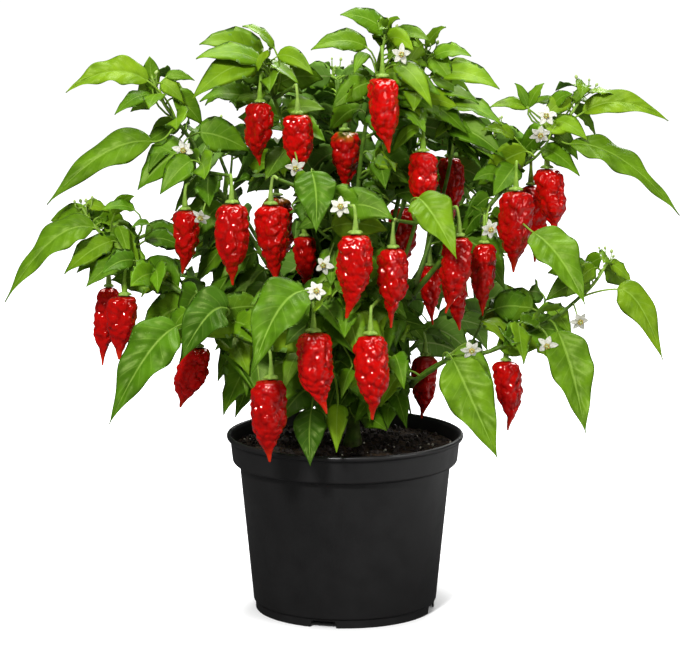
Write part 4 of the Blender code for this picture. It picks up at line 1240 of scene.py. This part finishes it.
class CHILLI_OT_foliage(bpy.types.Operator):
    """Clothe every limb in leaves"""

    bl_idname = "chilli.foliage"
    bl_label = "Foliage"

    def execute(self, context):
        leaf = settings().leaf
        for i, (name, path) in enumerate(PLANT.paths.items()):
            rng = np.random.default_rng(500 + i)
            run = travelled(path)
            mesh = Mesh()
            for distance in np.arange(0.12 * run[-1], run[-1], leaf.spacing):
                root = at_distance(path, run, distance)
                outward = unit(root * (1, 1, 0) + rng.normal(size=3) * (0.03, 0.03, 0))
                share = distance / run[-1]
                for side in (-1, 1):
                    if rng.random() < sparse_at(root):
                        continue
                    heading = turned_about_z(outward, side * rng.uniform(0.3, 1.7))
                    length = leaf.length * (1.0 - 0.35 * share) * rng.uniform(0.75, 1.15)
                    grow_leaf(mesh, root, heading, length, droop_at(root), rng,
                              rng.random() ** 2 * 0.3 * share)
            for twig in PLANT.twigs[name]:
                self.clothe(mesh, twig, rng)
            mesh.make(f"foliage_{name}", [leaf_material()], "leaf")
        return {"FINISHED"}

    @staticmethod
    def clothe(mesh, twig, rng):
        """Leaves by turns along a twig, then three round its end."""
        run = travelled(twig)
        on = unit((twig[-1] - twig[0]) * (1, 1, 0))
        turns = [(0.45, 1.1), (0.75, -1.1), (1.0, -0.8), (1.0, 0.1), (1.0, 1.0)]
        for share, turn in turns:
            root = at_distance(twig, run, share * run[-1])
            if rng.random() < 0.8 * sparse_at(root):
                continue
            length = rng.uniform(0.036, 0.058) * (1.1 - 0.25 * share)
            heading = turned_about_z(on, turn + rng.normal() * 0.3)
            grow_leaf(mesh, root, heading, length, 0.8 * droop_at(root), rng, rng.random() ** 2 * 0.55,
                      tries=5)


class CHILLI_OT_shoots(bpy.types.Operator):
    """Grow the young shoots at the limbs' ends, with their buds"""

    bl_idname = "chilli.shoots"
    bl_label = "Shoots"

    def execute(self, context):
        for i, limb in enumerate(SHOOT_LIMBS):
            rng = np.random.default_rng(700 + i)
            path = PLANT.paths[limb]
            start, out = path[-1], unit(path[-1] - path[-4])
            end = start + unit(out + 0.5 * UP) * 0.030
            twig = bend(start - out * 0.004, start + out * 0.012, end, 10)
            leaves, buds = Mesh(), Mesh()
            buds.add_rings(tube(twig, np.linspace(0.0016, 0.0010, 10), 9), None, (0.1, 0, 0))
            for base, tip in YOUNG_LEAVES.get(limb, ()):
                base, tip = np.array(base), np.array(tip)
                size = np.linalg.norm(tip - base)
                face = np.array((0.0, -0.75, 0.75)) + rng.normal(size=3) * 0.2
                shade = shade_at(tip)
                tint = (rng.uniform(0.0, 0.4) * (1 - shade), shade, rng.random())
                add_leaf(leaves, PLANT.bearer(base), base, tip, 0.14 * size, rng.uniform(0.42, 0.54) * size,
                         face, rng,
                         tint)
            count = 8 if limb in YOUNG_LEAVES else 13
            for k in range(count):
                share = 0.1 + 0.9 * k / (count - 1)
                root = start + (end - start) * share
                turn = GOLDEN_TURN * k + rng.uniform(-0.4, 0.4)
                heading = np.array((math.cos(turn), math.sin(turn), 0.0))
                length = 0.043 - 0.018 * share
                grow_leaf(leaves, root, heading, length, 0.45, rng, 0.1 + 0.5 * share * rng.random(), 5, 0.5)
            for k in range(4):
                turn = math.radians(100) * k + rng.uniform(-0.5, 0.5)
                away = np.array((math.cos(turn), math.sin(turn), 0.0)) * rng.uniform(0.003, 0.009)
                top = end + away + UP * rng.uniform(0.000, 0.008)
                top[2] = min(top[2], CAD_HIGH[2] + 0.010)
                stalk = bend(end - (end - start) * rng.uniform(0, 0.4), end + away - UP * 0.002, top, 7)
                buds.add_rings(tube(stalk, 0.00055, 6), None, (0.2, 0, 0))
                buds.add_rings(bud(stalk[-1], stalk[-1] - stalk[-3], rng.uniform(0.0030, 0.0048)), None,
                               (0.6, 0, 0))
            node = f"shoot_{i + 1:02d}"
            leaves.make(node, [leaf_material()], "leaf", [node])
            buds.make(f"{node}_buds", [stalk_material()], "leaf")
        return {"FINISHED"}


class CHILLI_OT_flowers(bpy.types.Operator):
    """Open the white flowers"""

    bl_idname = "chilli.flowers"
    bl_label = "Flowers"

    def execute(self, context):
        looks = [petal_look(), anther_look(), stalk_material()]
        for i, (middle, facing) in enumerate(FLOWERS):
            rng = np.random.default_rng(900 + i)
            middle, facing = np.array(middle), unit(facing)
            side = unit(np.cross(facing, UP))
            up = np.cross(side, facing)
            mesh = Mesh()
            petals = 6 if rng.random() < 0.6 else 5
            spin = rng.uniform(0, 6)
            for k in range(petals):
                turn = math.tau * k / petals + spin
                out = side * math.cos(turn) + up * math.sin(turn)
                foot = middle + out * 0.0008
                reach = rng.uniform(0.0068, 0.0086)
                tip = foot + out * reach + facing * rng.uniform(-0.0022, 0.0008)
                grid, place = blade(foot, tip, 0.0, 0.0050, facing, 11, 9, rng, 0.01, 0.03, 0.12, 0.0, 1, 0.8)
                mesh.add_rings(grid, place, (0, 0, 0), 0)
            for k in range(petals):
                turn = math.tau * (k + 0.5) / petals + spin
                out = side * math.cos(turn) + up * math.sin(turn)
                foot = middle + out * 0.0011 + facing * 0.0002
                mesh.add_rings(bud(foot, facing + 0.35 * out, 0.0030), None, (0, 0, 0), 1)
            mesh.add_rings(bud(middle, facing, 0.0036), None, (0.8, 0, 0), 2)
            back = middle - facing * 0.0035
            cup = tube(np.array([back - facing * 0.001, back, middle - facing * 0.0004]),
                       (0.0008, 0.0016, 0.0021), 12)
            mesh.add_rings(cup, None, (0.3, 0, 0), 2)
            root = PLANT.nearest(middle + 0.006 * UP)
            stalk = bend(root, back - facing * 0.006 + 0.007 * UP, back, 12)
            mesh.add_rings(tube(stalk, np.linspace(0.0009, 0.0006, 12), 8), None, (0.1, 0, 0), 2)
            name = f"flower_{i + 1:02d}"
            mesh.make(name, looks, "petal", [name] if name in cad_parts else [])
        return {"FINISHED"}


class CHILLI_OT_studio(bpy.types.Operator):
    """Set the floor, the soft light and the camera"""

    bl_idname = "chilli.studio"
    bl_label = "Studio"

    def execute(self, context):
        studio = settings().studio
        scene = context.scene
        floor = bpy.data.meshes.new("floor")
        reach = FLOOR_REACH
        floor.from_pydata([(-reach, -reach, 0), (reach, -reach, 0), (reach, reach, 0), (-reach, reach, 0)],
                          [],
                          [(0, 1, 2, 3)])
        floor.materials.append(paper_look(studio.glow))
        sheet = bpy.data.objects.new("floor", floor)
        scene.collection.objects.link(sheet)
        sheet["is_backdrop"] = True

        world = bpy.data.worlds.new("studio")
        world.use_nodes = True
        nodes, links = world.node_tree.nodes, world.node_tree.links
        background = nodes["Background"]
        background.inputs["Color"].default_value = (1, 1, 1, 1)
        rays = nodes.new("ShaderNodeLightPath")
        seen, mirrored = (nodes.new("ShaderNodeMath") for _ in range(2))
        seen.operation = mirrored.operation = "MULTIPLY_ADD"
        links.new(rays.outputs["Is Camera Ray"], seen.inputs[0])
        seen.inputs[1].default_value = 1 - studio.world
        seen.inputs[2].default_value = studio.world
        links.new(rays.outputs["Is Glossy Ray"], mirrored.inputs[0])
        mirrored.inputs[1].default_value = -MIRRORED_LESS * studio.world
        links.new(seen.outputs[0], mirrored.inputs[2])
        links.new(mirrored.outputs[0], background.inputs["Strength"])
        scene.world = world
        for name, at, size, share in LAMPS:
            light = bpy.data.lights.new(name, "AREA")
            light.size, light.energy = size, share * studio.key
            lamp = bpy.data.objects.new(name, light)
            scene.collection.objects.link(lamp)
            aim(lamp, np.array(at), np.array(LIT_MIDDLE))
        camera = bpy.data.cameras.new("camera")
        camera.lens, camera.sensor_width, camera.clip_end = studio.lens, 36.0, 200.0
        eye = bpy.data.objects.new("camera", camera)
        eye.location = EYE
        eye.rotation_euler = (math.pi / 2 - studio.pitch, 0, 0)
        scene.collection.objects.link(eye)
        scene.camera = eye
        scene.view_settings.view_transform = "Standard"
        return {"FINISHED"}


def aim(lamp, at, target):
    """Places a lamp and turns its -Z towards a target."""
    down = unit(target - at)
    lamp.location = at
    lamp.rotation_euler = (math.acos(-down[2]), 0, math.atan2(down[1], down[0]) - math.pi / 2)


class CHILLI_PT_panel(bpy.types.Panel):
    """Lists the plant's settings and its steps"""

    bl_label = "Chilli Plant"
    bl_space_type = "VIEW_3D"
    bl_region_type = "UI"
    bl_category = "Chilli Plant"

    def draw(self, context):
        plant = context.scene.chilli_plant
        for group in (plant.pot, plant.fruit, plant.leaf, plant.studio):
            box = self.layout.box()
            for title in group.__annotations__:
                box.prop(group, title)
        for operator in OPERATORS:
            self.layout.operator(operator.bl_idname)


OPERATORS = (CHILLI_OT_pot, CHILLI_OT_soil, CHILLI_OT_stem, CHILLI_OT_chillies, CHILLI_OT_long_leaves,
             CHILLI_OT_foliage, CHILLI_OT_shoots, CHILLI_OT_flowers, CHILLI_OT_studio)
CLASSES = (ChilliPotSettings, ChilliFruitSettings, ChilliLeafSettings, ChilliStudioSettings,
           ChilliPlantSettings,
           *OPERATORS, CHILLI_PT_panel)


def register():
    for entry in CLASSES:
        bpy.utils.register_class(entry)
    bpy.types.Scene.chilli_plant = bpy.props.PointerProperty(type=ChilliPlantSettings)


def unregister():
    del bpy.types.Scene.chilli_plant
    for entry in reversed(CLASSES):
        bpy.utils.unregister_class(entry)


def main():
    register()
    for operator in OPERATORS:
        group, step = operator.bl_idname.split(".")
        getattr(getattr(bpy.ops, group), step)()


if __name__ == "__main__":
    main()
